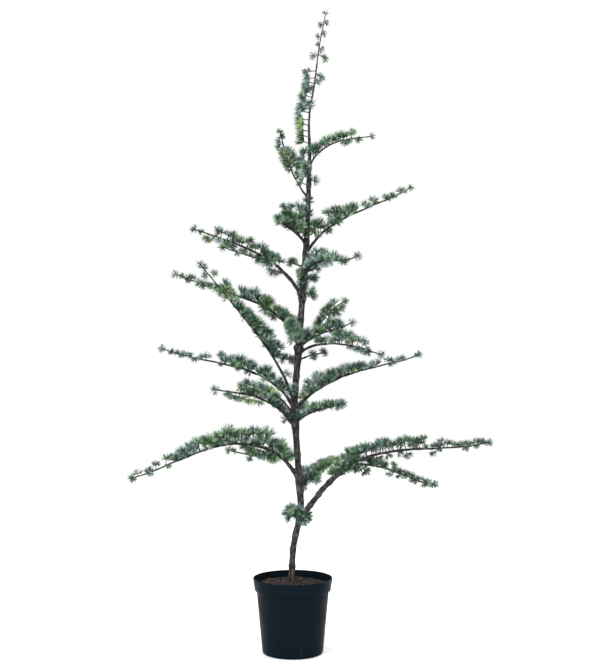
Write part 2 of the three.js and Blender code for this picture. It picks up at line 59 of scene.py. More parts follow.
# ---- the tree's plan, in millimetres and degrees ----
# foot: its height on the stem, or the bough that it grows from and how far along that is
# azimuth: 0 right, 90 back, 180 left, 270 front; swing: how far it has turned by its tip
# rise: how steeply it climbs at its foot, towards what it is then pulled twice, and at its tip
# radius, tip: the limb's, at its foot and at its tip
# masses: (from, to) along it, how high needles reach above it at both, how far below it and to its sides
# bare: stretches where the rule grows no pegs; fresh, dark: the young stretch, and the one in shade whose
# needles take darker tints as painted shade
# tuft: the needles at its tip; shortest: its shortest peg
# greener: how far its needles lean from blue to green, at foot and tip; paler: how far to the paler tints
BOUGHS = (
    dict(name="low_right", foot=318, azimuth=340, swing=0, length=200, rise=(45, 67, 33, 32), radius=7.4,
         tip=5.2, greener=(0.5, 0.5)),
    dict(name="low_right_outer", foot=("low_right", 0.93), azimuth=336, swing=18, length=332,
         rise=(33, 0, -5, 15), radius=4.4, masses=((0, 0.52, 40, 46, 14, 24), (0.52, 1, 32, 14, 13, 16)),
         bare=((0, 1),), tuft=11.5, greener=(0.1, 0), paler=-0.4),
    dict(name="low_right_fork", foot=("low_right", 0.96), azimuth=16, swing=14, length=227,
         rise=(-1, -16, -39, -3), radius=2.9, masses=((0, 1, 24, 14, 15, 16),), bare=((0, 1),), tuft=12.5,
         greener=(-0.1, -0.1), paler=-0.25),
    dict(name="low_middle", foot=392, azimuth=40, swing=-12, length=174, rise=(43, 20, 13, 20), radius=2.8,
         masses=((0.2, 1, 20, 17, 9, 22),), bare=((0, 0.2),), fresh=(0.4, 0.75), tuft=16.5, greener=(0, 0)),
    dict(name="low_back", foot=380, azimuth=72, swing=4, length=310, rise=(26, 7, 0, 4), radius=3,
         masses=((0.02, 1, 26, 16, 12, 21),)),
    dict(name="low_left", foot=406, azimuth=202, swing=-10, length=450, rise=(66, 9, -49, -10), radius=5.6,
         masses=((0.12, 0.4, 54, 66, 12, 24), (0.4, 0.64, 66, 38, 6, 23), (0.64, 1, 30, 16, 9, 16)),
         bare=((0.755, 1),), fresh=(0.24, 0.36), tuft=12.5, greener=(-0.1, -0.1), paler=0.3),
    dict(name="waist_left", foot=532, azimuth=210, swing=0, length=242, rise=(56, 35, -2, 10), radius=4.4,
         masses=((0.16, 0.68, 30, 36, 7, 22), (0.68, 1, 14, 12, 22, 13)), bare=((0.68, 1),),
         fresh=(0.5, 0.75), greener=(-0.35, -0.1), paler=0.1),
    dict(name="waist_right", foot=544, azimuth=312, swing=0, length=174, rise=(38, 14, 7, 14), radius=3,
         masses=((0.1, 1, 26, 20, 8, 20),), tuft=14, greener=(-0.2, -0.2)),
    dict(name="waist_front", foot=560, azimuth=246, swing=-10, length=240, rise=(38, 24, 14, 10),
         radius=2.8, masses=((0.42, 1, 17, 15, 8, 15),), bare=((0, 0.4),), fresh=(0.6, 0.75),
         greener=(-0.4, -0.3)),
    dict(name="waist_back", foot=552, azimuth=82, swing=8, length=300, rise=(12, 3, 0, 4), radius=2.6,
         masses=((0.02, 1, 20, 18, 14, 20),)),
    dict(name="long_left", foot=570, azimuth=150, swing=12, length=407, rise=(69, -1, 5, 18), radius=4.2,
         masses=((0.13, 0.6, 36, 42, 5, 22), (0.6, 1, 26, 13, 9, 15)), bare=((0.34, 0.37), (0.57, 1)),
         tuft=14, greener=(-0.5, -0.5)),
    dict(name="long_right", foot=576, azimuth=28, swing=-10, length=364, rise=(46, 20, -2, 21), radius=4.2,
         masses=((0.1, 0.58, 40, 38, 3, 22), (0.58, 1, 30, 14, 8, 16)), bare=((0.57, 0.615), (0.69, 1)),
         tuft=12.5, greener=(-0.5, -0.3), paler=0.2),
    dict(name="steep_left", foot=566, azimuth=204, swing=-12, length=428, rise=(84, 44, 49, 51), radius=4.2,
         masses=((0.34, 0.72, 48, 32, 3, 21), (0.72, 1, 24, 14, 13, 16)), bare=((0.74, 1),),
         fresh=(0.73, 0.8), tuft=13, greener=(-0.3, -0.4)),
    dict(name="peg_left", foot=690, azimuth=200, swing=0, length=40, rise=(20, 17, 11, 0), radius=2,
         masses=((0.08, 1, 18, 18, 14, 16),), tuft=16.5, greener=(-0.3, -0.3)),
    dict(name="peg_right", foot=694, azimuth=334, swing=0, length=72, rise=(24, 15, 10, 10), radius=2,
         masses=((0.02, 1, 14, 18, 11, 15),), bare=((0, 1),), tuft=14, greener=(-0.2, -0.2)),
    dict(name="mid_right", foot=706, azimuth=322, swing=0, length=246, rise=(39, -8, -11, -15), radius=3.4,
         masses=((0.2, 1, 36, 22, 10, 19),), bare=((0, 1),), tuft=13, greener=(-0.3, -0.3), paler=-0.25),
    dict(name="mid_back_right", foot=722, azimuth=32, swing=10, length=178, rise=(46, 8, 9, 22), radius=3,
         masses=((0.14, 1, 36, 24, 12, 21),), bare=((0.8, 0.95),), tuft=15, greener=(-0.15, -0.15)),
    dict(name="mid_fork", foot=("mid_back_right", 0.3), azimuth=64, swing=-10, length=175,
         rise=(54, 30, 17, 25), radius=2.2, masses=((0.14, 1, 24, 20, 16, 19),), bare=((0.3, 1),), tuft=14,
         greener=(0.6, 0.6)),
    dict(name="mid_left", foot=720, azimuth=162, swing=-6, length=393, rise=(82, -1, 18, 20), radius=4.6,
         masses=((0.1, 0.46, 44, 44, 7, 22), (0.46, 1, 40, 14, 8, 17)), bare=((0.25, 0.268), (0.56, 1)),
         fresh=(0.28, 0.4), dark=(0, 0.24), tuft=14, greener=(0.3, -0.5), paler=-0.1),
    dict(name="mid_front", foot=744, azimuth=262, swing=8, length=270, rise=(14, 9, 5, 4), radius=2.6,
         masses=((0.02, 1, 22, 18, 17, 22),), dark=(0, 1)),
    dict(name="mid_back", foot=742, azimuth=98, swing=-12, length=300, rise=(18, 9, 5, 8), radius=2.8,
         masses=((0.02, 1, 22, 18, 15, 21),)),
    dict(name="upper_left", foot=842, azimuth=206, swing=-6, length=322, rise=(62, 31, 7, 21), radius=5,
         masses=((0.24, 0.6, 34, 40, 22, 21), (0.6, 1, 38, 15, 24, 17)), bare=((0.2, 0.36), (0.5, 1)),
         tuft=13, greener=(-0.6, 0.1)),
    dict(name="peg_upper", foot=914, azimuth=196, swing=0, length=38, rise=(30, 17, 13, 20), radius=2,
         masses=((0.02, 1, 18, 18, 13, 16),), bare=((0, 1),), tuft=15, greener=(-0.4, -0.4)),
    dict(name="upper_right", foot=884, azimuth=306, swing=10, length=203, rise=(69, -14, -13, 20), radius=3,
         masses=((0.12, 1, 34, 18, 10, 18),), bare=((0.62, 1),), tuft=14, greener=(-0.8, -0.7)),
    dict(name="upper_back", foot=838, azimuth=88, swing=6, length=250, rise=(34, 17, 10, 14), radius=2.6,
         masses=((0.02, 1, 20, 16, 18, 20),)),
    dict(name="high_right", foot=944, azimuth=26, swing=6, length=357, rise=(63, 13.5, 19, 27), radius=3.6,
         masses=((0.12, 0.5, 40, 36, 6, 21), (0.5, 1, 26, 11, 7, 14)), bare=((0, 0.27), (0.5, 1)),
         tuft=11.5, greener=(0, 0.4), paler=0.15),
    dict(name="high_left", foot=970, azimuth=212, swing=64, length=178, rise=(50, 14, -2, 6), radius=3.6,
         masses=((0.26, 1, 28, 16, 6, 21),), fresh=(0.8, 1), tuft=15, greener=(0.4, 0.4), paler=0.25),
    dict(name="top_left", foot=1080, azimuth=146, swing=0, length=188, rise=(45, 60, 76, 73), radius=2.4,
         masses=((0.2, 1, 44, 20, 17, 21),), bare=((0, 1),), tuft=11, greener=(0.3, 0.3)),
    dict(name="top_front", foot=1112, azimuth=272, swing=-16, length=96, rise=(38, 17, 7, 10), radius=1.8,
         masses=((0.05, 1, 12, 11, 8, 12),), dark=(0, 1), tuft=12),
    dict(name="top_right", foot=1150, azimuth=348, swing=4, length=179, rise=(75, 26, -6, 11), radius=2.2,
         masses=((0.11, 1, 32, 22, 6, 17),), bare=((0, 1),), tuft=11, greener=(0.1, 0.1)),
)
# the short limb at the first bough's foot
FOOT = dict(name="foot", foot=318, azimuth=256, swing=0, length=44, rise=(36, 25, 13, 0), radius=2,
            masses=((0, 1, 26, 24, 20, 38),), bare=((0, 1),), tuft=17, greener=(-0.5, -0.5), paler=0.2)
# thinner second shoots inside the masses, which have no node of their own
SHOOTS = (
    dict(name="low_left_under", foot=("low_left", 0.2), azimuth=198, swing=-6, length=118,
         rise=(-12, 6, 14, 16), radius=2.2, masses=((0.1, 0.72, 16, 12, 24, 20),), tuft=12.5),
    dict(name="upper_left_under", foot=("upper_left", 0.36), azimuth=198, swing=-6, length=122,
         rise=(12, 16, 17, 17), radius=2.0, masses=((0.25, 0.5, 14, 13, 12, 13),), tuft=15),
    dict(name="top_left_twin", foot=("top_left", 0.32), azimuth=50, swing=10, length=82,
         rise=(40, 56, 74, 84), radius=1.5, masses=((0.2, 1, 22, 18, 14, 16),), tuft=16.5),
)
LIMBS = (FOOT, *BOUGHS, *SHOOTS)
# The leader's parts. "between" is its two heights and "towards" the side that its needles stand out to.
# "mass" is how high they reach at both heights, and how far on the other side and to the sides.
# A part without a mass has the stem pegs below instead.
LEADER = (
    dict(name="leader_low", between=(1206, 1372), towards=184, mass=(52, 36, 3, 20), shortest=15,
         greener=(0.7, -1.1), fresh=(0.2, 0.45)),
    dict(name="leader_high", between=(1374, 1438)),
    dict(name="leader_tip", between=(1440, 1522)),
)
# pegs with a place of their own on a limb: (how far along it, azimuth, rise, length, needle length)
PEGS = {
    "foot": (
        (0.2, 184, 16, 27, 23), (0.25, 200, 36, 26, 23), (0.3, 190, -6, 20, 21), (0.45, 340, -2, 20, 21),
        (0.5, 325, -16, 20, 21), (0.5, 0, -30, 12, 22), (0.75, 0, 60, 10, 22), (0.7, 300, -40, 8, 22),
        (0.9, 200, 40, 6, 19.5),
    ),
    "low_right": (
        (0.63, 150, 80, 12, 18), (0.7, 150, 70, 10, 19.5), (0.77, 90, 70, 12, 19.5),
        (0.83, 180, 60, 12, 19.5), (0.88, 30, 80, 10, 19.5), (0.94, 120, 75, 12, 20.5),
        (0.97, 0, -80, 6, 16.5), (0.9, 20, -65, 4, 14), (1.0, 0, -60, 9, 18), (0.72, 150, 84, 20, 22),
        (0.9, 120, 86, 28, 23), (0.98, 70, 84, 25, 22), (0.69, 262, 50, 10, 19), (0.76, 272, 36, 10, 19),
        (0.84, 266, 14, 8, 20), (0.92, 275, 24, 8, 19), (0.99, 262, 40, 8, 18),
    ),
    "low_right_outer": (
        (0.02, 262, 40, 8, 18), (0.07, 280, 36, 7, 16), (0.12, 110, 82, 19, 24), (0.13, 250, 60, 14, 22),
        (0.17, 200, 70, 14, 19.5), (0.2, 150, 76, 18, 18), (0.23, 90, 82, 20, 18), (0.3, 182, 62, 28, 15),
        (0.27, 250, 70, 14, 16.5), (0.33, 170, 72, 12, 20.5), (0.36, 90, 80, 14, 16),
        (0.38, 160, 80, 20, 16.5), (0.42, 178, 72, 24, 15), (0.455, 184, 78, 25, 15),
        (0.47, 80, 80, 19, 14), (0.5, 260, 75, 15, 15), (0.52, 176, 82, 17, 18), (0.56, 90, 60, 4, 11),
        (0.575, 182, 69, 25, 14.5), (0.69, 180, 60, 18, 12.5), (0.67, 180, 24, 5, 14),
        (0.66, 210, -60, 3, 9.5), (0.74, 60, 80, 9, 12.5), (0.775, 30, 70, 5, 11), (0.84, 40, 80, 6, 12.5),
        (0.83, 0, -72, 4, 11), (0.915, 20, 84, 6, 14.5), (0.91, 0, -76, 3, 9.5), (0.97, 300, 30, 3, 9.5),
        (0.42, 30, -72, 10, 18), (0.6, 0, -86, 10, 12.5), (0.2, 20, -60, 9, 18), (0.27, 0, -50, 8, 15),
        (0.06, 100, 82, 16, 23), (0.25, 120, 82, 22, 20), (0.35, 0, -40, 6, 16), (0.62, 90, 80, 6, 14),
        (0.71, 90, 80, 10, 14), (0.8, 180, 70, 6, 13), (0.87, 180, 70, 5, 13), (0.95, 90, 70, 5, 12.5),
    ),
    "low_right_fork": (
        (0.07, 0, -62, 20, 18), (0.05, 250, -60, 12, 17), (0.14, 60, 62, 8, 15), (0.2, 90, 76, 9, 16.5),
        (0.26, 10, 66, 9, 16.5), (0.31, 0, 24, 5, 16.5), (0.24, 280, 40, 6, 15), (0.42, 0, 46, 14, 13),
        (0.4, 180, -86, 12, 12.5), (0.49, 60, 40, 4, 12.5), (0.55, 20, 74, 6, 14), (0.6, 0, -20, 3, 12.5),
        (0.63, 40, 80, 6, 12.5), (0.69, 20, 84, 7, 12.5), (0.72, 0, -62, 6, 12.5), (0.76, 280, 30, 5, 12.5),
        (0.8, 0, 76, 6, 13), (0.84, 0, -60, 6, 13), (0.9, 40, 44, 5, 12.5), (0.94, 0, -50, 4, 11),
        (0.17, 270, 30, 8, 17), (0.35, 90, 60, 8, 15), (0.46, 270, 20, 6, 14), (0.52, 0, -60, 6, 14),
        (0.66, 0, -50, 5, 13.5), (0.87, 270, 20, 5, 13),
    ),
    "low_middle": (
        (0.05, 100, 84, 32, 18), (0.12, 80, 80, 26, 18), (0.2, 0, -12, 20, 17), (0.1, 150, 82, 16, 17),
        (0.24, 330, 5, 12, 16.5), (0.93, 0, 80, 10, 17),
    ),
    "low_left": (
        (0.96, 200, 72, 7, 15), (0.9, 180, 60, 4, 15), (0.895, 210, -62, 4, 12), (0.868, 176, 82, 14, 13),
        (0.815, 180, 84, 16, 15), (0.8, 200, -50, 3, 11), (0.77, 172, 76, 9, 16.5),
        (0.745, 20, 82, 8, 16.5), (0.99, 250, -40, 4, 11.5), (0.2, 190, -50, 11, 21),
        (0.22, 225, -60, 10, 22), (0.25, 180, -40, 14, 22), (0.27, 255, -30, 12, 22),
        (0.29, 200, -62, 10, 22), (0.32, 185, -45, 11, 22), (0.34, 245, -35, 10, 21),
        (0.37, 190, -60, 5, 19), (0.68, 176, 84, 18, 20), (0.72, 180, 80, 17, 19), (0.63, 190, 84, 20, 21),
    ),
    "waist_left": (
        (0.88, 20, -60, 7, 14), (0.78, 0, -86, 10, 12.5), (0.7, 10, -80, 9, 13), (0.72, 0, 88, 18, 16.5),
        (0.68, 170, 80, 18, 16.5), (0.52, 190, -80, 8, 16), (0.1, 190, 16, 12, 17),
        (0.74, 200, -86, 12, 13.5), (0.64, 0, -80, 12, 16), (0.82, 200, -80, 9, 12.5),
        (0.84, 260, -50, 5, 11),
    ),
    "waist_right": (
        (0.93, 0, 60, 4, 15), (0.9, 0, -60, 3, 13),
    ),
    "long_left": (
        (0.29, 0, 70, 20, 19), (0.6, 20, 78, 20, 15.5), (0.575, 0, 62, 10, 16.5), (0.6, 0, -80, 2, 8.5),
        (0.7, 90, 80, 7, 18), (0.72, 180, 62, 7, 14), (0.79, 180, 60, 6, 12.5), (0.78, 0, -62, 3, 11),
        (0.82, 0, 70, 5, 11.5), (0.855, 180, 60, 4, 11.5), (0.87, 0, -70, 3, 9.5), (0.895, 90, 60, 3, 10.5),
        (0.93, 180, 50, 3, 9.5), (0.94, 0, -70, 2, 8.5),
    ),
    "long_right": (
        (0.14, 130, 84, 28, 20), (0.19, 100, 84, 30, 20), (0.24, 90, 82, 26, 20), (0.76, 100, 76, 9, 14.5),
        (0.79, 0, 24, 4, 14), (0.78, 0, -62, 2, 9.5), (0.85, 180, 70, 6, 12.5), (0.87, 0, 70, 6, 11.5),
        (0.98, 90, 50, 2, 9.5),
    ),
    "steep_left": (
        (0.37, 0, 20, 24, 20), (0.42, 350, 25, 26, 20), (0.47, 10, 30, 24, 20), (0.77, 90, 60, 8, 16),
        (0.75, 200, 20, 6, 15), (0.8, 90, 50, 8, 14), (0.15, 0, 0, 8, 19.5), (0.14, 300, -20, 6, 18),
        (0.18, 180, 0, 16, 16.5), (0.21, 0, 45, 10, 16.5), (0.76, 0, 40, 12, 18), (0.79, 10, 70, 9, 18),
        (0.83, 0, 30, 15, 19.5), (0.8, 180, 20, 4, 12.5), (0.85, 180, -30, 9, 13), (0.9, 0, 42, 13, 14),
        (0.93, 180, -30, 8, 13), (0.97, 90, 40, 4, 12.5),
    ),
    "peg_right": (
        (0.55, 30, 50, 4, 15), (0.6, 300, -60, 3, 14), (0.95, 20, 60, 4, 14),
    ),
    "mid_right": (
        (0.27, 90, 84, 7, 15), (0.31, 270, 62, 9, 14), (0.35, 90, 80, 10, 15), (0.4, 10, 70, 8, 15),
        (0.44, 260, 60, 7, 14), (0.47, 90, 70, 8, 15), (0.5, 180, 70, 12, 15), (0.52, 182, 80, 22, 19.5),
        (0.55, 180, 76, 12, 19.5), (0.58, 60, 80, 18, 18), (0.61, 20, 78, 22, 19.5),
        (0.63, 280, 60, 10, 15), (0.655, 10, 80, 17, 16.5), (0.68, 180, 84, 14, 15), (0.7, 0, 72, 16, 16),
        (0.765, 0, 52, 19, 14), (0.63, 0, -70, 4, 11.5), (0.7, 0, -60, 4, 13), (0.75, 20, -70, 4, 13),
        (0.8, 0, -70, 6, 13), (0.84, 340, -60, 6, 12.5), (0.85, 180, 60, 2, 10.5),
    ),
    "mid_back_right": (
        (0.72, 180, 80, 16, 15),
    ),
    "mid_fork": (
        (0.34, 180, 32, 8, 15), (0.4, 0, -20, 9, 16.5), (0.42, 180, 46, 9, 16.5), (0.5, 176, 50, 9, 18),
        (0.5, 0, 0, 11, 16.5), (0.56, 0, -14, 18, 18), (0.58, 180, 50, 9, 16.5), (0.66, 184, 60, 8, 16.5),
        (0.73, 170, 76, 11, 18), (0.71, 0, 4, 21, 15), (0.82, 0, -34, 9, 13),
    ),
    "mid_left": (
        (0.27, 250, -60, 6, 17), (0.31, 270, -70, 6, 17), (0.35, 240, -50, 6, 17), (0.62, 90, 80, 8, 18),
        (0.645, 180, 50, 8, 17), (0.6, 260, 40, 10, 17), (0.6, 20, 74, 8, 14), (0.57, 0, -70, 9, 16.5),
        (0.67, 90, -80, 8, 14), (0.72, 180, 30, 4, 15), (0.7, 0, 60, 5, 14), (0.75, 280, 20, 4, 12.5),
        (0.78, 180, 70, 4, 13), (0.81, 170, 36, 5, 15), (0.8, 0, -50, 4, 12.5), (0.88, 0, 80, 6, 14.5),
        (0.9, 180, 60, 4, 13), (0.9, 200, -60, 3, 11), (0.95, 90, 50, 3, 11),
    ),
    "upper_left": (
        (0.3, 0, 75, 15, 16.5), (0.33, 20, 82, 18, 16.5), (0.345, 180, 76, 13, 16.5),
        (0.32, 186, -60, 14, 20.5), (0.38, 0, -70, 7, 15), (0.29, 180, -75, 8, 14), (0.42, 180, -70, 6, 14),
        (0.51, 0, 70, 10, 16.5), (0.54, 0, 80, 7, 14), (0.585, 0, 54, 20, 14), (0.62, 0, 80, 11, 18),
        (0.64, 90, 80, 7, 18), (0.66, 180, 80, 9, 18), (0.685, 0, 84, 14, 15), (0.7, 0, 80, 18, 15),
        (0.735, 90, 84, 14, 15), (0.79, 0, 70, 14, 15), (0.83, 20, 78, 18, 13), (0.6, 0, -76, 5, 14),
        (0.68, 180, -60, 5, 14), (0.73, 180, -64, 5, 14), (0.76, 0, -70, 6, 15), (0.8, 180, -70, 5, 14),
        (0.85, 0, -60, 5, 14), (0.86, 180, -24, 13, 14), (0.88, 180, -42, 9, 16.5), (0.94, 270, 10, 2, 9.5),
    ),
    "peg_upper": (
        (0.75, 180, 60, 4, 15), (0.8, 0, 60, 4, 14),
    ),
    "upper_right": (
        (0.12, 60, 82, 30, 19), (0.2, 90, 84, 30, 19), (0.3, 60, 84, 28, 18), (0.46, 10, 76, 24, 14),
        (0.66, 90, 50, 4, 15), (0.69, 180, 62, 5, 15), (0.74, 0, 60, 3, 12.5), (0.79, 0, -52, 3, 12.5),
        (0.75, 200, -60, 3, 11.5), (0.82, 90, 40, 2, 11),
    ),
    "high_right": (
        (0.13, 130, 86, 34, 20.5), (0.17, 120, 84, 30, 21), (0.19, 280, 60, 14, 19.5),
        (0.22, 90, 70, 14, 18), (0.25, 0, -60, 5, 14), (0.29, 180, 84, 32, 19.5), (0.33, 90, 84, 30, 19),
        (0.44, 90, 82, 18, 19.5), (0.495, 180, 80, 15, 18.5), (0.585, 90, 80, 10, 16), (0.6, 0, 74, 5, 13),
        (0.66, 90, 80, 11, 17), (0.665, 0, 50, 5, 12), (0.765, 90, 76, 7, 14), (0.775, 0, 30, 3, 11),
        (0.83, 0, 60, 4, 13.5), (0.845, 200, 20, 3, 12), (0.905, 180, 70, 6, 14), (0.925, 0, 40, 3, 12),
    ),
    "high_left": (
        (0.2, 90, 88, 66, 17), (0.24, 100, 84, 62, 15), (0.36, 100, 86, 30, 19), (0.46, 60, 84, 26, 20),
        (0.55, 170, 84, 42, 12.5), (0.1, 60, 60, 26, 20), (0.18, 100, 72, 26, 22), (0.24, 10, 70, 34, 22),
        (0.2, 330, 40, 22, 20), (0.35, 0, 50, 20, 19.5), (0.3, 200, 60, 12, 18),
    ),
    "top_left": (
        (0.46, 176, 10, 5, 13), (0.5, 184, 10, 6, 15), (0.54, 180, 20, 8, 16.5), (0.59, 170, 16, 9, 16.5),
        (0.64, 186, 14, 9, 16.5), (0.7, 178, 26, 9, 15), (0.77, 180, 6, 13, 13), (0.85, 180, 26, 10, 13),
        (0.48, 0, 10, 12, 16.5), (0.53, 10, 34, 20, 19.5), (0.58, 0, 30, 14, 18), (0.64, 20, 48, 14, 18),
        (0.72, 0, 42, 7, 14), (0.92, 10, 30, 3, 11), (0.55, 90, 10, 10, 14), (0.66, 270, 20, 9, 14),
    ),
    "top_right": (
        (0.13, 90, 84, 21, 20), (0.17, 20, 76, 18, 19), (0.21, 180, 76, 17, 18), (0.3, 90, 80, 13, 17),
        (0.34, 0, 76, 13, 17), (0.38, 260, 80, 12, 17), (0.41, 90, 80, 12, 19), (0.45, 0, 76, 12, 19),
        (0.49, 20, 70, 6, 15), (0.57, 90, 84, 10, 19.5), (0.6, 180, 80, 9, 18), (0.65, 0, 84, 14, 11.5),
        (0.72, 0, 80, 17, 12.5), (0.62, 0, -72, 4, 14), (0.67, 0, -76, 4, 13), (0.64, 200, -60, 3, 12.5),
        (0.8, 0, -70, 4, 12.5), (0.83, 180, -60, 3, 10.5),
    ),
    "low_left_under": (
        (0.9, 0, 40, 2, 11),
    ),
    "upper_left_under": (
        (0.62, 0, 60, 4, 14), (0.7, 180, -60, 2, 11), (0.86, 0, 60, 5, 15), (0.93, 180, 60, 4, 15),
    ),
}
# pegs straight from the stem: (height, azimuth, rise, length, needle length)
STEM_PEGS = (
    (558, 196, 10, 10, 15), (560, 318, 30, 8, 16.5), (736, 205, 20, 12, 19.5), (742, 330, 25, 14, 19.5),
    (752, 350, 12, 18, 18), (752, 262, 30, 8, 18), (766, 190, 50, 6, 16.5), (842, 0, 26, 17, 20.5),
    (852, 340, -4, 12, 25), (868, 0, 42, 22, 16.5), (888, 350, -4, 22, 17), (904, 5, 6, 26, 17),
    (866, 190, 70, 4, 14), (888, 192, 60, 4, 15), (926, 20, 40, 10, 16.5), (1006, 205, 24, 18, 19.5),
    (1030, 286, 50, 10, 19.5), (1040, 200, 60, 10, 19.5), (1064, 96, 40, 10, 18), (1112, 190, 10, 14, 18),
    (1122, 0, -10, 10, 16.5), (1128, 188, 35, 12, 19.5), (1150, 214, 50, 9, 18), (1340, 200, 20, 4, 13),
    (1352, 0, 30, 8, 12), (1378, 0, -50, 17, 12), (1384, 180, -4, 27, 11), (1420, 184, -20, 12, 13.5),
    (1423, 0, -34, 20, 11), (1436, 0, -10, 5, 11.5), (1444, 180, 20, 3, 9.5), (1465, 180, -10, 6, 10),
    (1469, 0, 10, 6, 11), (1492, 180, 0, 6, 10.5), (1496, 0, 10, 5, 10.5),
)
STEM_TONE = dict(greener=(-0.45, -0.45))
# the tiers that pieces are joined by: how the names of their boughs start, and each tier's top on the stem
TIERS = {
    "low": ("foot", "low_"),
    "waist": ("waist_", "long_", "steep_"),
    "middle": ("peg_left", "peg_right", "mid_"),
    "upper": ("peg_upper", "upper_", "high_"),
    "crown": ("top_", "leader_"),
}
TIER_TOPS = (450, 660, 800, 1000, 2000)
LIMB_TIP = 1.4  # the radius of a limb's tip that has no other
COLLAR, COLLAR_REACH = 0.35, 14  # how much thicker a limb is at its foot, and how far along that fades
WANDER, WANDER_LENGTH = 1.6, 38  # how far a limb strays from its line, and over what length
WANDER_SEED = 1795407031  # for the vector noise, which Blender otherwise seeds by the clock

# three families of needles, each from its shaded tint to its palest
SHADES = ("dark", "middle", "light", "pale")
NEEDLE_TINTS = {
    "green": ("#203f29", "#3b6b43", "#6b946d", "#a1bd99"),
    "blue": ("#244239", "#437160", "#7d9e91", "#b7c7be"),
    "young": ("#3d6434", "#5f894f", "#88aa68", "#b2c98e"),
}
GREEN, BLUE, YOUNG = 0, 4, 8  # the number of each family's first tint
BLUENESS = -0.17  # a tuft that leans less to green than this is blue
YOUNG_SHARE, STRAY_SHARE = 0.55, 0.03  # how many tufts are young in a fresh stretch, and anywhere else
# SHADED is painted shade: the darker tint that tufts in a stretch in shade start from
LIT, SHADED = 1.02, 0.4  # the middle shade of a tuft in the light, and of one in a dark stretch
FAMILY_PATCH, SHADE_PATCH = 55, 40  # across a patch of one family, and of one shade
EVEN_HEIGHT, PALING_HEIGHT = 600, 1800  # where height makes no difference, and how much of it makes one shade


# ---- colour and sizes that a user would change ----
def colour(code):
    """An sRGB hex colour as linear RGBA."""
    parts = [int(code[i : i + 2], 16) / 255 for i in (1, 3, 5)]
    return (*(c / 12.92 if c <= 0.04045 else ((c + 0.055) / 1.055) ** 2.4 for c in parts), 1.0)


def colour_property(name, description, code):
    return bpy.props.FloatVectorProperty(
        name=name, description=description, subtype="COLOR", size=4, min=0, max=1, default=colour(code)
    )


def length_property(name, description, millimetres):
    return bpy.props.FloatProperty(
        name=name, description=description, unit="LENGTH", min=0, default=millimetres * MM
    )


class CedarGrowth(bpy.types.PropertyGroup):
    seed: bpy.props.IntProperty(name="Seed", description="Which tree of its kind grows", default=4)
    peg_spacing: length_property("Peg spacing", "From one peg to the next on a full bough", 11.5)
    peg_longest: length_property("Longest peg", "The short woody shoots that carry the tufts", 40)
    needle_length: length_property("Needle length", "On a full tuft, and two thirds of that at the tips", 23)
    needle_width: length_property("Needle width", "Across a needle's middle", 1.4)
    needles: bpy.props.IntProperty(name="Needles", description="In a full tuft", min=6, max=140, default=80)


class CedarBark(bpy.types.PropertyGroup):
    old: colour_property("Old bark", "On the lower stem", "#3f3a36")
    young: colour_property("Young bark", "On the upper stem and the boughs", "#2c272b")
    weathered: colour_property("Weathered bark", "Where bark is greyer and more olive", "#413f40")
    furrow: colour_property("Furrow", "Between the ridges", "#110e10")
    scar: colour_property("Needle scar", "Pale rings where needles have fallen", "#6c6868")
    peg: colour_property("Peg", "Last year's short shoots", "#54403a")
    relief: bpy.props.FloatProperty(
        name="Relief", description="How far bark stands out, as a share of the radius", default=0.1
    )


class CedarPot(bpy.types.PropertyGroup):
    plastic: colour_property("Plastic", "Carbon-black polypropylene", "#0a151c")
    dust: colour_property("Dust", "Dried splashes near the foot", "#75807a")
    wall: length_property("Wall", "Thickness of the pot's wall", 2)
    band: length_property("Band", "Height of the band under the rim", 30)
    drains: bpy.props.IntProperty(name="Drain holes", description="In the pot's floor", min=3, default=8)


class CedarMix(bpy.types.PropertyGroup):
    peat: colour_property("Peat", "The fine part of the mix", "#1f1918")
    bark_chip: colour_property("Bark chip", "Composted pine bark", "#412e29")
    pale_chip: colour_property("Pale chip", "Fresh-broken bark and coir", "#57493f")
    chips: bpy.props.IntProperty(name="Chips", description="On the surface", default=1500)
    chip_length: length_property("Chip length", "Of the longest chips", 11)


# ---- meshes from arrays ----
GRAIN = "grain"


class Batch:
    """Vertices and triangles of many small things that become one mesh."""

    def __init__(self):
        self.vertices, self.faces, self.tints, self.grains, self.count = [], [], [], [], 0

    def add(self, vertices, faces, tint=0, grain=None):
        """tint is a material's number, for all or for each face. grain is each vertex's place round and
        along a limb."""
        self.vertices.append(vertices)
        self.faces.append(faces + self.count)
        self.tints.append(np.broadcast_to(np.asarray(tint, np.int32), len(faces)))
        self.grains.append(vertices if grain is None else grain)
        self.count += len(vertices)


def make_piece(name, batch, materials, replaces=()):
    """A smooth mesh piece that rides on the tree's one body."""
    vertices = np.concatenate(batch.vertices) * MM
    faces = np.concatenate(batch.faces).astype(np.int32)
    mesh = bpy.data.meshes.new(name)
    mesh.vertices.add(len(vertices))
    mesh.vertices.foreach_set("co", vertices.astype(np.float32).ravel())
    mesh.loops.add(faces.size)
    mesh.loops.foreach_set("vertex_index", faces.ravel())
    mesh.polygons.add(len(faces))
    mesh.polygons.foreach_set("loop_start", np.arange(0, faces.size, 3, dtype=np.int32))
    for material in materials:
        mesh.materials.append(material)
    mesh.polygons.foreach_set("material_index", np.concatenate(batch.tints).astype(np.int32))
    if any(grain is not where for grain, where in zip(batch.grains, batch.vertices)):
        grain = mesh.attributes.new(GRAIN, "FLOAT_VECTOR", "POINT")
        grain.data.foreach_set("vector", (np.concatenate(batch.grains) * MM).astype(np.float32).ravel())
    mesh.update(calc_edges=True)
    mesh.shade_smooth()
    piece = bpy.data.objects.new(name, mesh)
    bpy.context.scene.collection.objects.link(piece)
    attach(piece, "root")
    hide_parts(*replaces)
    return piece


def unit(vectors):
    return vectors / np.maximum(np.linalg.norm(vectors, axis=-1, keepdims=True), 1e-9)


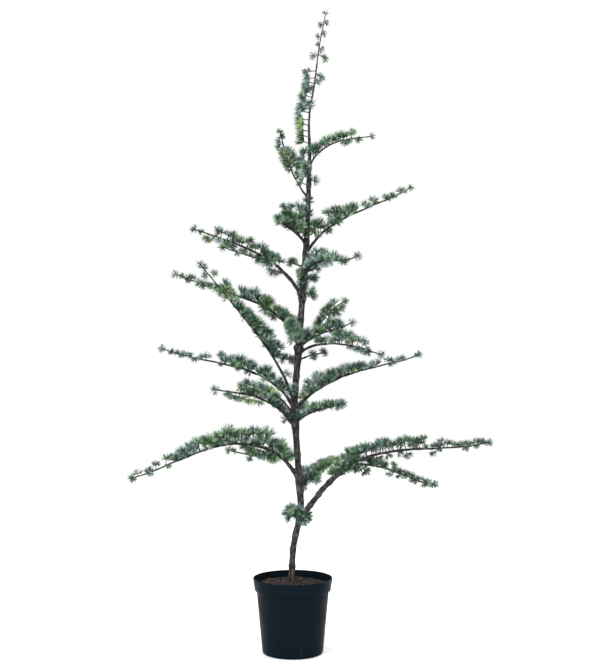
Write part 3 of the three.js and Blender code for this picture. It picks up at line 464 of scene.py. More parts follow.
def smooth(points, count):
    """count points, evenly numbered, on a smooth curve through these."""
    padded = np.vstack([2 * points[0] - points[1], points, 2 * points[-1] - points[-2]])
    at = np.linspace(0, len(points) - 1, count)
    i = np.minimum(at.astype(int), len(points) - 2)
    t = (at - i)[:, None]
    a, b, c, d = (padded[i + k] for k in range(4))
    return 0.5 * (2 * b + (c - a) * t + (2 * a - 5 * b + 4 * c - d) * t**2 + (3 * b - a - 3 * c + d) * t**3)


def sides_of(points):
    """Two directions across a line at each of its points, which turn with it as little as they can."""
    along = unit(np.gradient(points, axis=0))
    start = UP if abs(along[0][2]) < 0.9 else np.array([0.0, 1.0, 0.0])
    across = []
    for direction in along:
        start = unit(start - direction * start.dot(direction))
        across.append(start)
    across = np.array(across)
    return across, np.cross(along, across)


def grid_faces(rows, columns):
    """Triangles over a closed ring of columns, row by row."""
    row, column = np.meshgrid(np.arange(rows - 1), np.arange(columns), indexing="ij")
    a = (row * columns + column).ravel()
    b = (row * columns + (column + 1) % columns).ravel()
    return np.concatenate([np.stack([a, b, b + columns], 1), np.stack([a, b + columns, a + columns], 1)])


def tube(points, radii, sides):
    """A round skin over a line, closed at its far end: its vertices, faces and grain. It takes one radius
    for each point, or one for each point and side."""
    across, over = sides_of(points)
    angle = 2 * math.pi * np.arange(sides) / sides
    radii = np.asarray(radii, float).reshape(len(points), -1)
    reach = np.broadcast_to(radii, (len(points), sides))[..., None]
    ring = np.cos(angle)[None, :, None] * across[:, None] + np.sin(angle)[None, :, None] * over[:, None]
    vertices = (points[:, None] + ring * reach).reshape(-1, 3)
    gone = np.concatenate([[0], np.cumsum(np.linalg.norm(np.diff(points, axis=0), axis=1))])
    round_it = np.stack([np.cos(angle), np.sin(angle)], -1)[None] * reach.mean(1, keepdims=True)
    grain = np.concatenate([round_it, np.broadcast_to(gone[:, None, None], (len(points), sides, 1))], -1)
    last = (len(points) - 1) * sides
    j = np.arange(sides)
    cap = np.stack([last + j, last + (j + 1) % sides, np.full(sides, len(vertices))], 1)
    vertices = np.vstack([vertices, points[-1] + unit(points[-1] - points[-2]) * reach[-1].mean() * 0.6])
    grain = np.vstack([grain.reshape(-1, 3), [0, 0, gone[-1]]])
    return vertices, np.concatenate([grid_faces(len(points), sides), cap]), grain


# ---- lines ----
@lru_cache(None)
def stem():
    """The stem's centre line and radius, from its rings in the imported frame."""
    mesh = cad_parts["stem"].data
    corners = np.array([v.co for v in mesh.vertices]) / MM
    rings = []
    for height in np.unique(corners[:, 2].round(1)):
        ring = corners[abs(corners[:, 2] - height) < 0.2]
        centre = ring.mean(0)
        rings.append([*centre, np.linalg.norm(ring - centre, axis=1).max()])
    return smooth(np.array(rings), 640)


def stem_at(height):
    """The middle of the stem at a height."""
    line = stem()
    return np.array([np.interp(height, line[:, 2], line[:, k]) for k in range(3)])


def point_on(line, along):
    """The point that lies this share of the way along a line."""
    at = along * (len(line) - 1)
    i = min(int(at), len(line) - 2)
    return line[i] + (line[i + 1] - line[i]) * (at - i)


def eased(values, t):
    """Starts at the first value, is pulled towards the next two in turn and ends at the fourth."""
    a, b, c, d = values
    return (1 - t) ** 3 * a + 3 * t * (1 - t) ** 2 * b + 3 * t**2 * (1 - t) * c + t**3 * d


def heading(azimuth, rise):
    """A direction from its turn about the upright and its climb, in degrees."""
    azimuth, rise = np.radians(azimuth), np.radians(rise)
    return np.stack([np.cos(rise) * np.cos(azimuth), np.cos(rise) * np.sin(azimuth), np.sin(rise)], -1)


@lru_cache(None)
def lines():
    """Each bough's line from foot to tip, a point every few millimetres."""
    noise.seed_set(WANDER_SEED)
    steps, made = 32, {}
    t = (np.arange(steps) + 0.5) / steps
    for number, bough in enumerate(LIMBS):
        foot = bough["foot"]
        start = point_on(made[foot[0]], foot[1]) if isinstance(foot, tuple) else stem_at(foot)
        way = heading(bough["azimuth"] + bough["swing"] * t, eased(bough["rise"], t))
        line = start + np.vstack([np.zeros(3), np.cumsum(way * bough["length"] / steps, 0)])
        line = smooth(line, max(8, int(bough["length"] / 3)))
        # a grown bough is never quite true: it wanders a millimetre or so as it goes
        for i, along in enumerate(np.linspace(0, 1, len(line))):
            wander = noise.noise_vector(Vector((along * bough["length"] / WANDER_LENGTH, 7.3 * number, 0.5)))
            line[i] += np.array(wander) * WANDER * min(1, along * 8)
        made[bough["name"]] = line
    return made


def limb_radius(bough, t):
    """A limb's radius at the shares t of its length. It swells into a collar at its foot."""
    collar = 1 + COLLAR * np.exp(-t * bough["length"] / COLLAR_REACH)
    tip = bough.get("tip", LIMB_TIP)
    return (bough["radius"] + (tip - bough["radius"]) * t**0.6) * collar


def tier_of(name):
    return next(tier for tier, starts in TIERS.items() if name.startswith(starts))


def nodes_of(kind, tier):
    """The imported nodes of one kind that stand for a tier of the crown."""
    return [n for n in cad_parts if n.startswith(kind) and tier_of(n[len(kind) :]) == tier]


def fullness(u):
    """How full a mass is along its length, as its solid is."""
    return math.sin(math.pi * (0.13 + 0.77 * u)) ** 0.6


# ---- growth ----
# a peg's thickness from foot to end, and a side bud's
PEG_SHAPE, BUD_SHAPE = np.array([1.2, 0.95, 0.85, 0.95, 1.15]), np.array([0.9, 0.85, 1.1])
# side buds on a long peg: how far apart, how far from its ends, how long, and how many of them grow
BUD_SPACING, BUD_FROM_END, BUD_FROM_FOOT, BUD_LENGTH, BUD_SHARE = 8.5, 9, 7, 4.5, 0.75
# pegs lean across the limb and reach out by turns: degrees, and shares of the mass's own reach
LEANS, REACHES = (-26, 12, 30, -8), (1, 0.72, 0.93, 0.58)
FULL_HEIGHT, THIN_HEIGHT = 25, 13  # a mass this high has full tufts, and one this low the smallest
LEAN_HEIGHT = 40  # pegs in masses higher than this lean less
CROWDED_HEIGHT, WIDE, DEEP = 30, 19, 9  # beyond these a mass has second, sideways and hanging pegs
STEM_CLEARANCE = 9  # no pegs of a bough this close to the middle of the stem
TIP_SPREAD, LEADER_SPREAD = math.radians(118), 1.3  # of the tuft at a bough's tip, and at the leader's
# each kind of thing draws its chances from a stream of its own
NEEDLE_DRAWS, LEADER_DRAWS, STEM_PEG_DRAWS, STEM_DRAWS, BOUGH_DRAWS, CHIP_DRAWS = 77, 100, 200, 501, 600, 900


class Crown:
    """Everything that grows on the limbs of one tier. A peg is its line, its radii and whether it is new.
    A tuft is the place and direction that its needles fan out from, their length, spread and count, and
    its tint."""

    def __init__(self):
        self.pegs, self.tufts = [], []


def grow_peg(crown, rng, growth, start, way, length, needle, tint):
    """One short shoot from a limb, with a fan of needles at its end, and more along it if it is long."""
    full = growth.needle_length / MM
    way = unit(way + rng.normal(0, 0.12, 3))
    turn = unit(way + UP * (0.3 if way[2] > -0.2 else 0.0) + rng.normal(0, 0.1, 3))
    points = smooth(np.array([start, start + way * length * 0.5, start + (way + turn) * length * 0.5]), 5)
    small = float(np.clip((full - needle) / (0.5 * full), 0, 1))
    thick = rng.uniform(1.15, 1.5) * (1 - 0.2 * small)
    new = rng.random() < 0.3 + 0.3 * small
    crown.pegs.append((points, thick * PEG_SHAPE, new))
    count = growth.needles * (1 - 0.12 * small)
    spread = math.radians(rng.uniform(56, 70) + 50 * small)
    crown.tufts.append((points[-1], turn, needle, spread, round(count * rng.uniform(0.9, 1.1)), tint))
    for at in np.arange(length - BUD_FROM_END, BUD_FROM_FOOT, -BUD_SPACING):
        if rng.random() < BUD_SHARE:
            side = unit(np.cross(turn, rng.normal(0, 1, 3)))
            base = point_on(points, at / length)
            lean = unit(side + turn * 0.5)
            knob = base + lean * BUD_LENGTH
            bud = smooth(np.array([base, (base + knob) / 2, knob]), len(BUD_SHAPE))
            crown.pegs.append((bud, thick * BUD_SHAPE, True))
            fan = unit(lean + UP * 0.4)
            crown.tufts.append((knob, fan, needle * 0.85, spread, round(count * 0.75), tint))


def pick_tint(rng, place, t, small, bough):
    """A tuft's family and shade: green and blue in patches a hand wide, a few young, and paler where it
    is small or high up."""
    foot, tip = bough.get("greener", (0, 0))
    greener = noise.noise(Vector(place / FAMILY_PATCH)) + rng.normal(0, 0.3) + foot + (tip - foot) * t
    family = GREEN if greener > BLUENESS else BLUE
    nowhere = (2, 2)
    fresh, dark = (a <= t <= b for a, b in (bough.get("fresh", nowhere), bough.get("dark", nowhere)))
    if rng.random() < (YOUNG_SHARE if fresh else STRAY_SHARE):
        family = YOUNG
    # painted shade: a tuft in a dark stretch starts from a darker tint
    shade = (SHADED if dark else LIT) + bough.get("paler", 0)
    shade = shade + noise.noise(Vector(place / SHADE_PATCH + 9)) + 0.5 * small
    shade += (place[2] - EVEN_HEIGHT) / PALING_HEIGHT
    return family + int(np.clip(round(shade + rng.normal(0, 0.45)), 0, len(SHADES) - 1))


def grow_along(crown, rng, growth, bough, place_at, span, sizes, first, last, ends=(True, True)):
    """Pegs one after another along one mass, which lies from first to last on its bough, leaning to and
    fro, long and short by turns. place_at(u) gives the limb's place and the three directions there. ends
    says at which ends the mass tapers, with no neighbour there."""
    high, higher, below, side = sizes
    travelled, number = 3.0, int(rng.integers(0, 4))
    while travelled < span - 2:
        u = travelled / span
        t = first + u * (last - first)
        place, along, over, across = place_at(u)
        full = 1.0 if (u < 0.5 and not ends[0]) or (u > 0.5 and not ends[1]) else max(fullness(u), 0.7)
        up = (high + (higher - high) * u) * full
        wide, under = side * full, below * full
        small = float(np.clip((FULL_HEIGHT - up) / (FULL_HEIGHT - THIN_HEIGHT), 0, 1))
        travelled += growth.peg_spacing / MM * (1 + 0.5 * small) * rng.uniform(0.55, 1.5)
        number += 1
        if any(start <= t <= end for start, end in bough.get("bare", ())):
            continue
        lean = LEANS[number % 4] * (1 + 0.5 * small) * min(1, LEAN_HEIGHT / up)
        angles = [(lean + rng.normal(0, 8), REACHES[number % 4])]
        if up > CROWDED_HEIGHT and number % 2 and "shortest" not in bough:
            angles.append((rng.normal(0, 38), rng.uniform(0.45, 0.75)))
        if wide > WIDE and number % 3 == 0:
            angles.append((math.copysign(rng.uniform(48, 70), rng.normal()), 0.8))
        if under > DEEP and rng.random() < min(0.6, under / 28) * (1 - 0.35 * small):
            angles.append((180 + rng.normal(0, 40), 1))
        for angle, share in angles:
            angle = math.radians(angle)
            tall = up if math.cos(angle) > 0 else under
            reach = 1 / math.hypot(math.cos(angle) / max(tall, 5), math.sin(angle) / wide)
            reach *= share * rng.uniform(0.94, 1.1)
            way = unit(over * math.cos(angle) + across * math.sin(angle) + along * rng.normal(0.02, 0.14))
            tint = pick_tint(rng, place + way * reach, t, small, bough)
            needle = growth.needle_length / MM * (1 - 0.4 * small) * rng.uniform(0.88, 1.1)
            needle = min(needle, 3 + 1.1 * reach)
            shortest, longest = bough.get("shortest", 3), growth.peg_longest / MM
            length = float(np.clip(reach - 0.86 * needle, shortest, longest))
            grow_peg(crown, rng, growth, place, way, length, needle, tint)


def across_limb(line, at):
    """A limb's place at a share of its length, its direction, the way up across it and its side."""
    place = point_on(line, at)
    along = unit(point_on(line, min(1, at + 0.01)) - point_on(line, max(0, at - 0.01)))
    across = unit(np.cross(along, UP))
    return place, along, np.cross(across, along), across


def check_mass(node, line, start, end):
    """The bough has to run through its packed mass, or the frame and this plan have parted."""
    low, high = (np.array(corner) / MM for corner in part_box(node))
    middle = point_on(line, (start + end) / 2)
    if (middle < low - 3).any() or (middle > high + 3).any():
        raise RuntimeError(f"the plan's bough doesn't run through the packed node {node}")


def grow_bough(crown, bough, growth, number):
    """A bough's masses, by the rule, then its own pegs and the tuft at its tip."""
    rng = np.random.default_rng((growth.seed, number))
    line = lines()[bough["name"]]
    masses = bough.get("masses", ())
    for index, (start, end, high, higher, below, side) in enumerate(masses):
        if bough not in SHOOTS:
            name = bough["name"] if len(masses) == 1 else f"{bough['name']}_{index + 1}"
            check_mass(f"needles_{name}", line, start, end)
        start = max(start, STEM_CLEARANCE / bough["length"])

        def place_at(u, start=start, end=end):
            return across_limb(line, start + (end - start) * u)

        span = (end - start) * bough["length"]
        sizes, ends = (high, higher, below, side), (index == 0, index == len(masses) - 1)
        grow_along(crown, rng, growth, bough, place_at, span, sizes, start, end, ends)
    for at, azimuth, rise, length, needle in PEGS.get(bough["name"], ()):
        way = heading(azimuth + rng.normal(0, 22), rise)
        place = point_on(line, at)
        tint = pick_tint(rng, place + way * 20, at, 0.3, bough)
        grow_peg(crown, rng, growth, place, way, length, needle, tint)
    if masses:
        place, along, _, _ = across_limb(line, 1)
        tint = pick_tint(rng, place, 1, 0.8, bough)
        needle = bough.get("tuft", 0.65 * growth.needle_length / MM)
        crown.tufts.append((place, along, needle, TIP_SPREAD, round(growth.needles * 0.85), tint))


def grow_stem_peg(crown, peg, growth, number):
    """One peg straight from the stem, with its foot inside the bark."""
    rng = np.random.default_rng((growth.seed, number))
    height, azimuth, rise, length, needle = peg
    way = heading(azimuth + rng.normal(0, 12), rise)
    place = stem_at(height)
    inside = np.interp(height, stem()[:, 2], stem()[:, 3]) * 0.7
    tint = pick_tint(rng, place + way * 30, 0, 0.3, STEM_TONE)
    grow_peg(crown, rng, growth, place + way * inside, way, length, needle, tint)


def grow_leader(crown, part, growth, number):
    """The stem's own last shoot: needles by the rule where a part has a mass, and a tuft at the tip."""
    rng = np.random.default_rng((growth.seed, number))
    low, high = part["between"]
    shares = np.linspace(0, 1, len(stem()))
    start, end = np.interp((low, high), stem()[:, 2], shares)
    check_mass(f"needles_{part['name']}", stem()[:, :3], start, end)
    if "mass" in part:
        towards = heading(part["towards"], 0)

        def place_at(u):
            return stem_at(low + (high - low) * u), UP, towards, np.cross(UP, towards)

        grow_along(crown, rng, growth, part, place_at, high - low, part["mass"], 0.2, 1.0)
    if part is LEADER[-1]:
        crown.tufts.append((stem_at(high), UP, 11, LEADER_SPREAD, round(growth.needles * 0.5), BLUE + 2))


def grown(growth):
    """The whole crown, tier by tier. The same settings always grow the same one."""
    crowns = {tier: Crown() for tier in TIERS}
    for number, bough in enumerate(LIMBS):
        grow_bough(crowns[tier_of(bough["name"])], bough, growth, number)
    for number, part in enumerate(LEADER):
        grow_leader(crowns[tier_of(part["name"])], part, growth, LEADER_DRAWS + number)
    for number, peg in enumerate(STEM_PEGS):
        tier = next(tier for tier, top in zip(TIERS, TIER_TOPS) if peg[0] < top)
        grow_stem_peg(crowns[tier], peg, growth, STEM_PEG_DRAWS + number)
    return crowns


SPRAY, MOST_SPRAYS = 4, 40  # needles in a spray, and sprays in the fullest tuft
GOLDEN_TURN = 2.39996  # radians from one spray to the next, so that no two line up
LIFTS, LIFT_CHANCES = 5, (0.1, 0.25, 0.28, 0.25, 0.12)  # a spray's shade against its tuft's, from -2 to 2


def needle_mesh(tufts, growth, seed):
    """Every needle of these tufts: three-sided, straight, widest past its middle and pointed. In a tuft
    they stand in sprays that lean together, lighter and darker by turns."""
    rng = np.random.default_rng((seed, NEEDLE_DRAWS))
    end, axis = (np.array([t[k] for t in tufts]) for k in (0, 1))
    length, spread, count, tint = (np.array([t[k] for t in tufts]) for k in (2, 3, 4, 5))
    which = np.repeat(np.arange(len(tufts)), count)
    rank = np.arange(len(which)) - np.repeat(np.cumsum(count) - count, count)
    spray, sprays = rank // SPRAY, np.ceil(count / SPRAY)[which]
    wobble = rng.random((len(tufts), MOST_SPRAYS))[which, spray]
    share = (spray + wobble) / sprays
    loose = 0.08 * spread[which] ** 2
    polar = np.arccos(1 - (1 - np.cos(spread[which])) * share**0.8) + rng.normal(0, loose)
    turn = spray * GOLDEN_TURN + 1.2 * wobble + rng.normal(0, loose) / np.maximum(np.sin(polar), 0.3)
    a = axis[which]
    b = unit(np.cross(a, np.array([0.31, 0.52, 0.79])))
    c = np.cross(a, b)
    out = np.cos(turn)[:, None] * b + np.sin(turn)[:, None] * c
    way = unit(np.cos(polar)[:, None] * a + np.sin(polar)[:, None] * out)
    long = (length[which] * rng.normal(1, 0.06, len(which)))[:, None]
    base = end[which] - a * rng.uniform(0, 1.5, len(which))[:, None] + out * 0.4
    middle = base + way * long * 0.58 - a * 0.02 * long
    tip = base + way * long + a * long * 0.05
    s = unit(np.cross(way, a + 0.01))
    r = np.cross(way, s)
    half = growth.needle_width / MM / 2 * (0.55 + 0.45 * long * MM / growth.needle_length)
    corners = 2 * math.pi * np.arange(3) / 3
    ring = [middle + (s * math.cos(angle) + r * math.sin(angle)) * half for angle in corners]
    vertices = np.stack([base, *ring, tip], 1).reshape(-1, 3)
    one = [(0, 1 + (k + 1) % 3, 1 + k) for k in range(3)] + [(1 + k, 1 + (k + 1) % 3, 4) for k in range(3)]
    faces = (np.array(one)[None] + 5 * np.arange(len(which))[:, None, None]).reshape(-1, 3)
    # a spray is a shade or two lighter or darker than its tuft, so that it can be told from the next, and
    # each needle is darker at its foot than at its tip: painted shade for the crowded inside of the tuft
    lift = rng.choice(LIFTS, (len(tufts), MOST_SPRAYS), p=LIFT_CHANCES) - 2
    family, shade = tint[which] // len(SHADES) * len(SHADES), tint[which] % len(SHADES) + lift[which, spray]
    # the darker tint at each needle's foot is painted shade
    dark, light = (family + np.clip(shade - step, 0, len(SHADES) - 1) for step in (1, 0))
    return vertices, faces, np.repeat(np.stack([dark, light], 1), 3, 1).ravel()


# ---- bark ----
def knobs(rng, span, count, height, reach):
    """Low swellings along a limb: how much each point of it is swollen."""
    swell = np.zeros(len(span))
    for at in rng.uniform(span[0], span[-1], count):
        swell += rng.uniform(0.4, 1) * height * np.exp(-(((span - at) / reach) ** 2))
    return swell


def rough(points, radii, sides, relief, grain_length, grain_width, seed):
    """A radius for each point and side, broken up by ridges that run along the limb."""
    gone = np.concatenate([[0], np.cumsum(np.linalg.norm(np.diff(points, axis=0), axis=1))])
    angle = 2 * math.pi * np.arange(sides) / sides
    made = np.empty((len(points), sides))
    for i, (along, radius) in enumerate(zip(gone, radii)):
        for j, a in enumerate(angle):
            x, y = math.cos(a) * radius / grain_width, math.sin(a) * radius / grain_width
            ridge = noise.noise(Vector((x, y, along / grain_length + seed)))
            crumb = noise.noise(Vector((x * 2.7, y * 2.7, along / grain_width + seed)))
            made[i, j] = radius * (1 + relief * (ridge + 0.5 * crumb))
    return made


def even(line, step):
    """A line with its points a step apart. It may carry more values than its place."""
    gone = np.concatenate([[0], np.cumsum(np.linalg.norm(np.diff(line[:, :3], axis=0), axis=1))])
    at = np.linspace(0, gone[-1], max(4, round(gone[-1] / step)))
    return np.stack([np.interp(at, gone, column) for column in line.T], 1)


def skin(points, radii):
    """A skin for a batch, in its first material."""
    vertices, faces, grain = tube(points, radii, radii.shape[1])
    return vertices, faces, 0, grain


def skin_stem(batch, relief, seed):
    """The stem's bark: knotted, flared where the roots begin, swollen round each bough's foot."""
    rng = np.random.default_rng((seed, STEM_DRAWS))
    line = even(stem(), 2.2)
    height = line[:, 2]
    radius = line[:, 3] * (1 + knobs(rng, height, count=34, height=0.17, reach=5.5) - 0.04)
    radius *= 1 + 0.1 * np.exp(-(height - height[0]) / 9)
    for bough in BOUGHS:
        if not isinstance(bough["foot"], tuple):
            radius += bough["radius"] * 0.38 * np.exp(-(((height - bough["foot"] - 2) / 9) ** 2))
    # the foot goes down into the mix
    below = np.array([[*line[0, :2], height[0] - depth] for depth in (14, 7)])
    points = np.vstack([below, line[:, :3]])
    radius = np.concatenate([[radius[0] * 1.06, radius[0] * 1.03], radius])
    radii = rough(points, radius, 26, relief, grain_length=16, grain_width=2.6, seed=3.1)
    batch.add(*skin(points, radii))


def skin_bough(batch, bough, relief, seed, number):
    """A limb's bark. The thickest limb has a second lot of knots."""
    rng = np.random.default_rng((seed, BOUGH_DRAWS + number))
    line = even(lines()[bough["name"]], 3)
    t = np.linspace(0, 1, len(line))
    span = t * bough["length"]
    knots = int(bough["length"] / 22)
    radius = limb_radius(bough, t) * (1 + knobs(rng, span, knots, height=0.2, reach=4.5))
    if bough["name"] == "low_right":
        radius *= 1 + knobs(rng, span, count=11, height=0.22, reach=5)
    sides = 14 if bough["radius"] > 2.5 else 10
    radii = rough(line, radius, sides, relief, grain_length=11, grain_width=2.0, seed=11.7 * number)
    batch.add(*skin(line, radii))


# ---- materials ----
def add_node(tree, kind, inputs=None, output=0, **settings):
    """Adds a shader node with its settings and gives back one of its outputs. An input is a value, or a
    socket to link."""
    node = tree.nodes.new("ShaderNode" + kind)
    for name, value in settings.items():
        setattr(node, name, value)
    for name, value in (inputs or {}).items():
        if isinstance(value, bpy.types.NodeSocket):
            tree.links.new(value, node.inputs[name])
        else:
            node.inputs[name].default_value = value
    return node.outputs[output]


def new_material(name, build=None, **inputs):
    """A material with one shader. build(tree) adds the nodes of its pattern and returns the inputs that
    they feed."""
    material = bpy.data.materials.new(name)
    material.use_nodes = True
    tree = material.node_tree
    tree.nodes.clear()
    fed = build(tree) if build else {}
    named = {key.replace("_", " "): value for key, value in inputs.items()}
    surface = add_node(tree, "BsdfPrincipled", {**named, **fed})
    output = tree.nodes.new("ShaderNodeOutputMaterial")
    tree.links.new(surface, output.inputs["Surface"])
    return material


def size_of(millimetres):
    """The scale of a noise whose patches are that wide."""
    return 1 / (millimetres * MM)


def bark_material(name, bark, grain_size, plate_size):
    """Young cedar bark, unpeeled: dull and corky, lighter on its ridges, with shallow furrows that run
    along it, pale grey rings where needles have fallen, and a colour that drifts from one hand's breadth
    to the next."""

    def build(tree):
        grain = add_node(tree, "Attribute", output="Vector", attribute_name=GRAIN)
        place = add_node(tree, "NewGeometry", output="Position")
        height = add_node(tree, "SeparateXYZ", {"Vector": place}, "Z")
        aged = add_node(tree, "MapRange", {"Value": height, "From Min": 0.3, "From Max": 0.7})
        base = add_node(tree, "Mix", {0: aged, 6: bark.old, 7: bark.young}, 2, data_type="RGBA")
        drift = add_node(tree, "TexNoise", {"Vector": place, "Scale": size_of(38), "Detail": 2})
        olive = add_node(
            tree, "MapRange", {"Value": drift, "From Min": 0.45, "From Max": 0.7, "To Max": 0.6}
        )
        base = add_node(tree, "Mix", {0: olive, 6: base, 7: bark.weathered}, 2, data_type="RGBA")
        # furrows are four times as long as they are wide
        drawn = add_node(tree, "Mapping", {"Vector": grain, "Scale": (1, 1, 0.25)})
        ridges = add_node(tree, "TexNoise", {"Vector": drawn, "Scale": size_of(grain_size), "Detail": 5})
        sunk = add_node(tree, "MapRange", {"Value": ridges, "From Min": 0.55, "From Max": 0.38})
        base = add_node(tree, "Mix", {0: sunk, 6: base, 7: bark.furrow}, 2, data_type="RGBA")
        girdle = add_node(tree, "Mapping", {"Vector": grain, "Scale": (0.35, 0.35, 1)})
        scars = add_node(tree, "TexNoise", {"Vector": girdle, "Scale": size_of(3.2), "Detail": 2})
        pale = add_node(
            tree, "MapRange", {"Value": scars, "From Min": 0.58, "From Max": 0.72, "To Max": 0.5}
        )
        base = add_node(tree, "Mix", {0: pale, 6: base, 7: bark.scar}, 2, data_type="RGBA")
        # corky plates a finger's breadth long, some rubbed pale and some nearly black
        plated = add_node(tree, "Mapping", {"Vector": grain, "Scale": (1, 1, 0.45)})
        plates = add_node(tree, "TexNoise", {"Vector": plated, "Scale": size_of(plate_size), "Detail": 2})
        rubbed = add_node(
            tree, "MapRange", {"Value": plates, "From Min": 0.53, "From Max": 0.68, "To Max": 0.6}
        )
        base = add_node(tree, "Mix", {0: rubbed, 6: base, 7: bark.scar}, 2, data_type="RGBA")
        split = add_node(
            tree, "MapRange", {"Value": plates, "From Min": 0.47, "From Max": 0.34, "To Max": 0.8}
        )
        base = add_node(tree, "Mix", {0: split, 6: base, 7: bark.furrow}, 2, data_type="RGBA")
        dull = {"Value": ridges, "From Min": 0.3, "From Max": 0.7, "To Min": 0.92, "To Max": 0.74}
        roughness = add_node(tree, "MapRange", dull)
        bump = add_node(tree, "Bump", {"Height": ridges, "Distance": 0.5 * MM, "Strength": 0.8})
        return {"Base Color": base, "Roughness": roughness, "Normal": bump}

    return new_material(name, build, Specular_IOR_Level=0.15)


def needle_materials():
    """Cedar needles: a waxy skin over blue-green flesh, yellower while young. The wax gives a soft, wide
    highlight and a grey bloom at the edges. Each tint is plain, and they are dealt out by tuft and by
    spray."""
    wax = dict(Roughness=0.5, IOR=1.42, Sheen_Weight=0.12, Sheen_Roughness=0.5)
    return [
        new_material(f"cedar_needle_{family}_{shade}", Base_Color=colour(code), **wax)
        for family, codes in NEEDLE_TINTS.items()
        for shade, code in zip(SHADES, codes)
    ]


def spur_material(name, bark, light):
    """A short woody shoot: thin bark, rough with the cushions that needles leave, dull."""

    def build(tree):
        place = add_node(tree, "NewGeometry", output="Position")
        cushions = add_node(tree, "TexNoise", {"Vector": place, "Scale": size_of(1.6), "Detail": 3})
        raised = add_node(tree, "MapRange", {"Value": cushions, "From Min": 0.42, "From Max": 0.62})
        base = add_node(tree, "Mix", {0: raised, 6: bark.furrow, 7: light}, 2, data_type="RGBA")
        bump = add_node(tree, "Bump", {"Height": cushions, "Distance": 0.4 * MM, "Strength": 0.7})
        return {"Base Color": base, "Normal": bump}

    return new_material(name, build, Roughness=0.82, Specular_IOR_Level=0.3)


def pot_material(pot):
    """Polypropylene with carbon black, injection-moulded: a satin skin, a little uneven, with fine upright
    scuffs from being drawn out of a stack, and dried splashes of mud low down."""

    def build(tree):
        place = add_node(tree, "NewGeometry", output="Position")
        height = add_node(tree, "SeparateXYZ", {"Vector": place}, "Z")
        upright = add_node(tree, "Mapping", {"Vector": place, "Scale": (1, 1, 0.07)})
        scuffs = add_node(tree, "TexNoise", {"Vector": upright, "Scale": size_of(1.4), "Detail": 4})
        cloud = add_node(tree, "TexNoise", {"Vector": place, "Scale": size_of(26), "Detail": 3})
        splash = add_node(tree, "TexNoise", {"Vector": place, "Scale": size_of(5.5), "Detail": 6})
        low = add_node(
            tree, "MapRange", {"Value": height, "From Min": 0.07, "From Max": 0.01, "To Max": 0.3}
        )
        spots = add_node(tree, "MapRange", {"Value": splash, "From Min": 0.6, "From Max": 0.74})
        patch = add_node(tree, "MapRange", {"Value": cloud, "From Min": 0.5, "From Max": 0.65})
        wet = add_node(tree, "Math", {0: spots, 1: low}, operation="MULTIPLY")
        dusty = add_node(tree, "Math", {0: wet, 1: patch}, operation="MULTIPLY")
        rubbed = add_node(
            tree, "MapRange", {"Value": scuffs, "From Min": 0.6, "From Max": 0.8, "To Max": 0.06}
        )
        base = add_node(tree, "Mix", {0: rubbed, 6: pot.plastic, 7: colour("#46525a")}, 2, data_type="RGBA")
        base = add_node(tree, "Mix", {0: dusty, 6: base, 7: pot.dust}, 2, data_type="RGBA")
        satin = {"Value": cloud, "From Min": 0.35, "From Max": 0.65, "To Min": 0.36, "To Max": 0.5}
        roughness = add_node(tree, "MapRange", satin)
        orange_peel = add_node(tree, "TexNoise", {"Vector": place, "Scale": size_of(0.9)})
        bump = add_node(tree, "Bump", {"Height": orange_peel, "Distance": 0.05 * MM, "Strength": 0.35})
        return {"Base Color": base, "Roughness": roughness, "Normal": bump}

    return new_material("moulded_polypropylene_black", build, IOR=1.49, Specular_IOR_Level=0.03)


def peat_material(mix):
    """Peat and composted bark, milled and damp: dull dark crumbs with lighter fibres, no gloss."""

    def build(tree):
        place = add_node(tree, "NewGeometry", output="Position")
        crumbs = add_node(tree, "TexNoise", {"Vector": place, "Scale": size_of(2.2), "Detail": 6})
        fibres = add_node(tree, "TexNoise", {"Vector": place, "Scale": size_of(6), "Detail": 3})
        raised = add_node(tree, "MapRange", {"Value": crumbs, "From Min": 0.38, "From Max": 0.62})
        base = add_node(tree, "Mix", {0: raised, 6: colour("#15110f"), 7: mix.peat}, 2, data_type="RGBA")
        brown = add_node(
            tree, "MapRange", {"Value": fibres, "From Min": 0.62, "From Max": 0.74, "To Max": 0.5}
        )
        base = add_node(tree, "Mix", {0: brown, 6: base, 7: mix.bark_chip}, 2, data_type="RGBA")
        bump = add_node(tree, "Bump", {"Height": crumbs, "Distance": 1.2 * MM, "Strength": 0.9})
        return {"Base Color": base, "Normal": bump}

    return new_material("milled_peat", build, Roughness=0.93, Specular_IOR_Level=0.25)


def chip_materials(mix):
    """Chips of composted pine bark: split along the grain, matt, from near black when damp to dusty tan.
    Each tint is plain, and they are dealt out by chip."""
    tints = {
        "damp": colour("#1c1716"), "dark": colour("#332925"), "red": mix.bark_chip,
        "grey": colour("#343132"), "pale": mix.pale_chip,
    }
    matt = dict(Roughness=0.88, Specular_IOR_Level=0.3)
    return [new_material(f"pine_bark_chip_{name}", Base_Color=tint, **matt) for name, tint in tints.items()]


def studio_board():
    """Painted board: matt, near white, with no pattern large enough to see."""
    white = colour("#fefefe")
    return new_material("matt_white_board", Base_Color=white, Roughness=0.9, Specular_IOR_Level=0.1)


# ---- pot and mix ----
SHOULDER, RIM, FOOT_RADIUS, SHOULDER_RADIUS, RIM_RADIUS = 148, 178, 72, 86, 94.5
POT_SIDES, MIX_SIDES, DRAIN_SIDES = 160, 150, 20
DRAIN_RADIUS, DRAINS_OUT = 5.5, 44  # a drain hole's, and how far out its middle is
DRILL_FROM, DRILL_TO = -3, 6  # heights that the drill passes through, with the floor between
EDGE = RIM_RADIUS - 2.9 - 3.5  # the band's radius inside, at the mix
MIX_LEVEL = RIM - 15.4
CHIP_SIDES = 7
TINT_CHANCES = (0.27, 0.34, 0.2, 0.14, 0.05)  # of the chips' tints, in their order


def wall_radius(z):
    """The pot's outside radius under its band."""
    return FOOT_RADIUS + (SHOULDER_RADIUS - FOOT_RADIUS) * min(z / SHOULDER, 1)


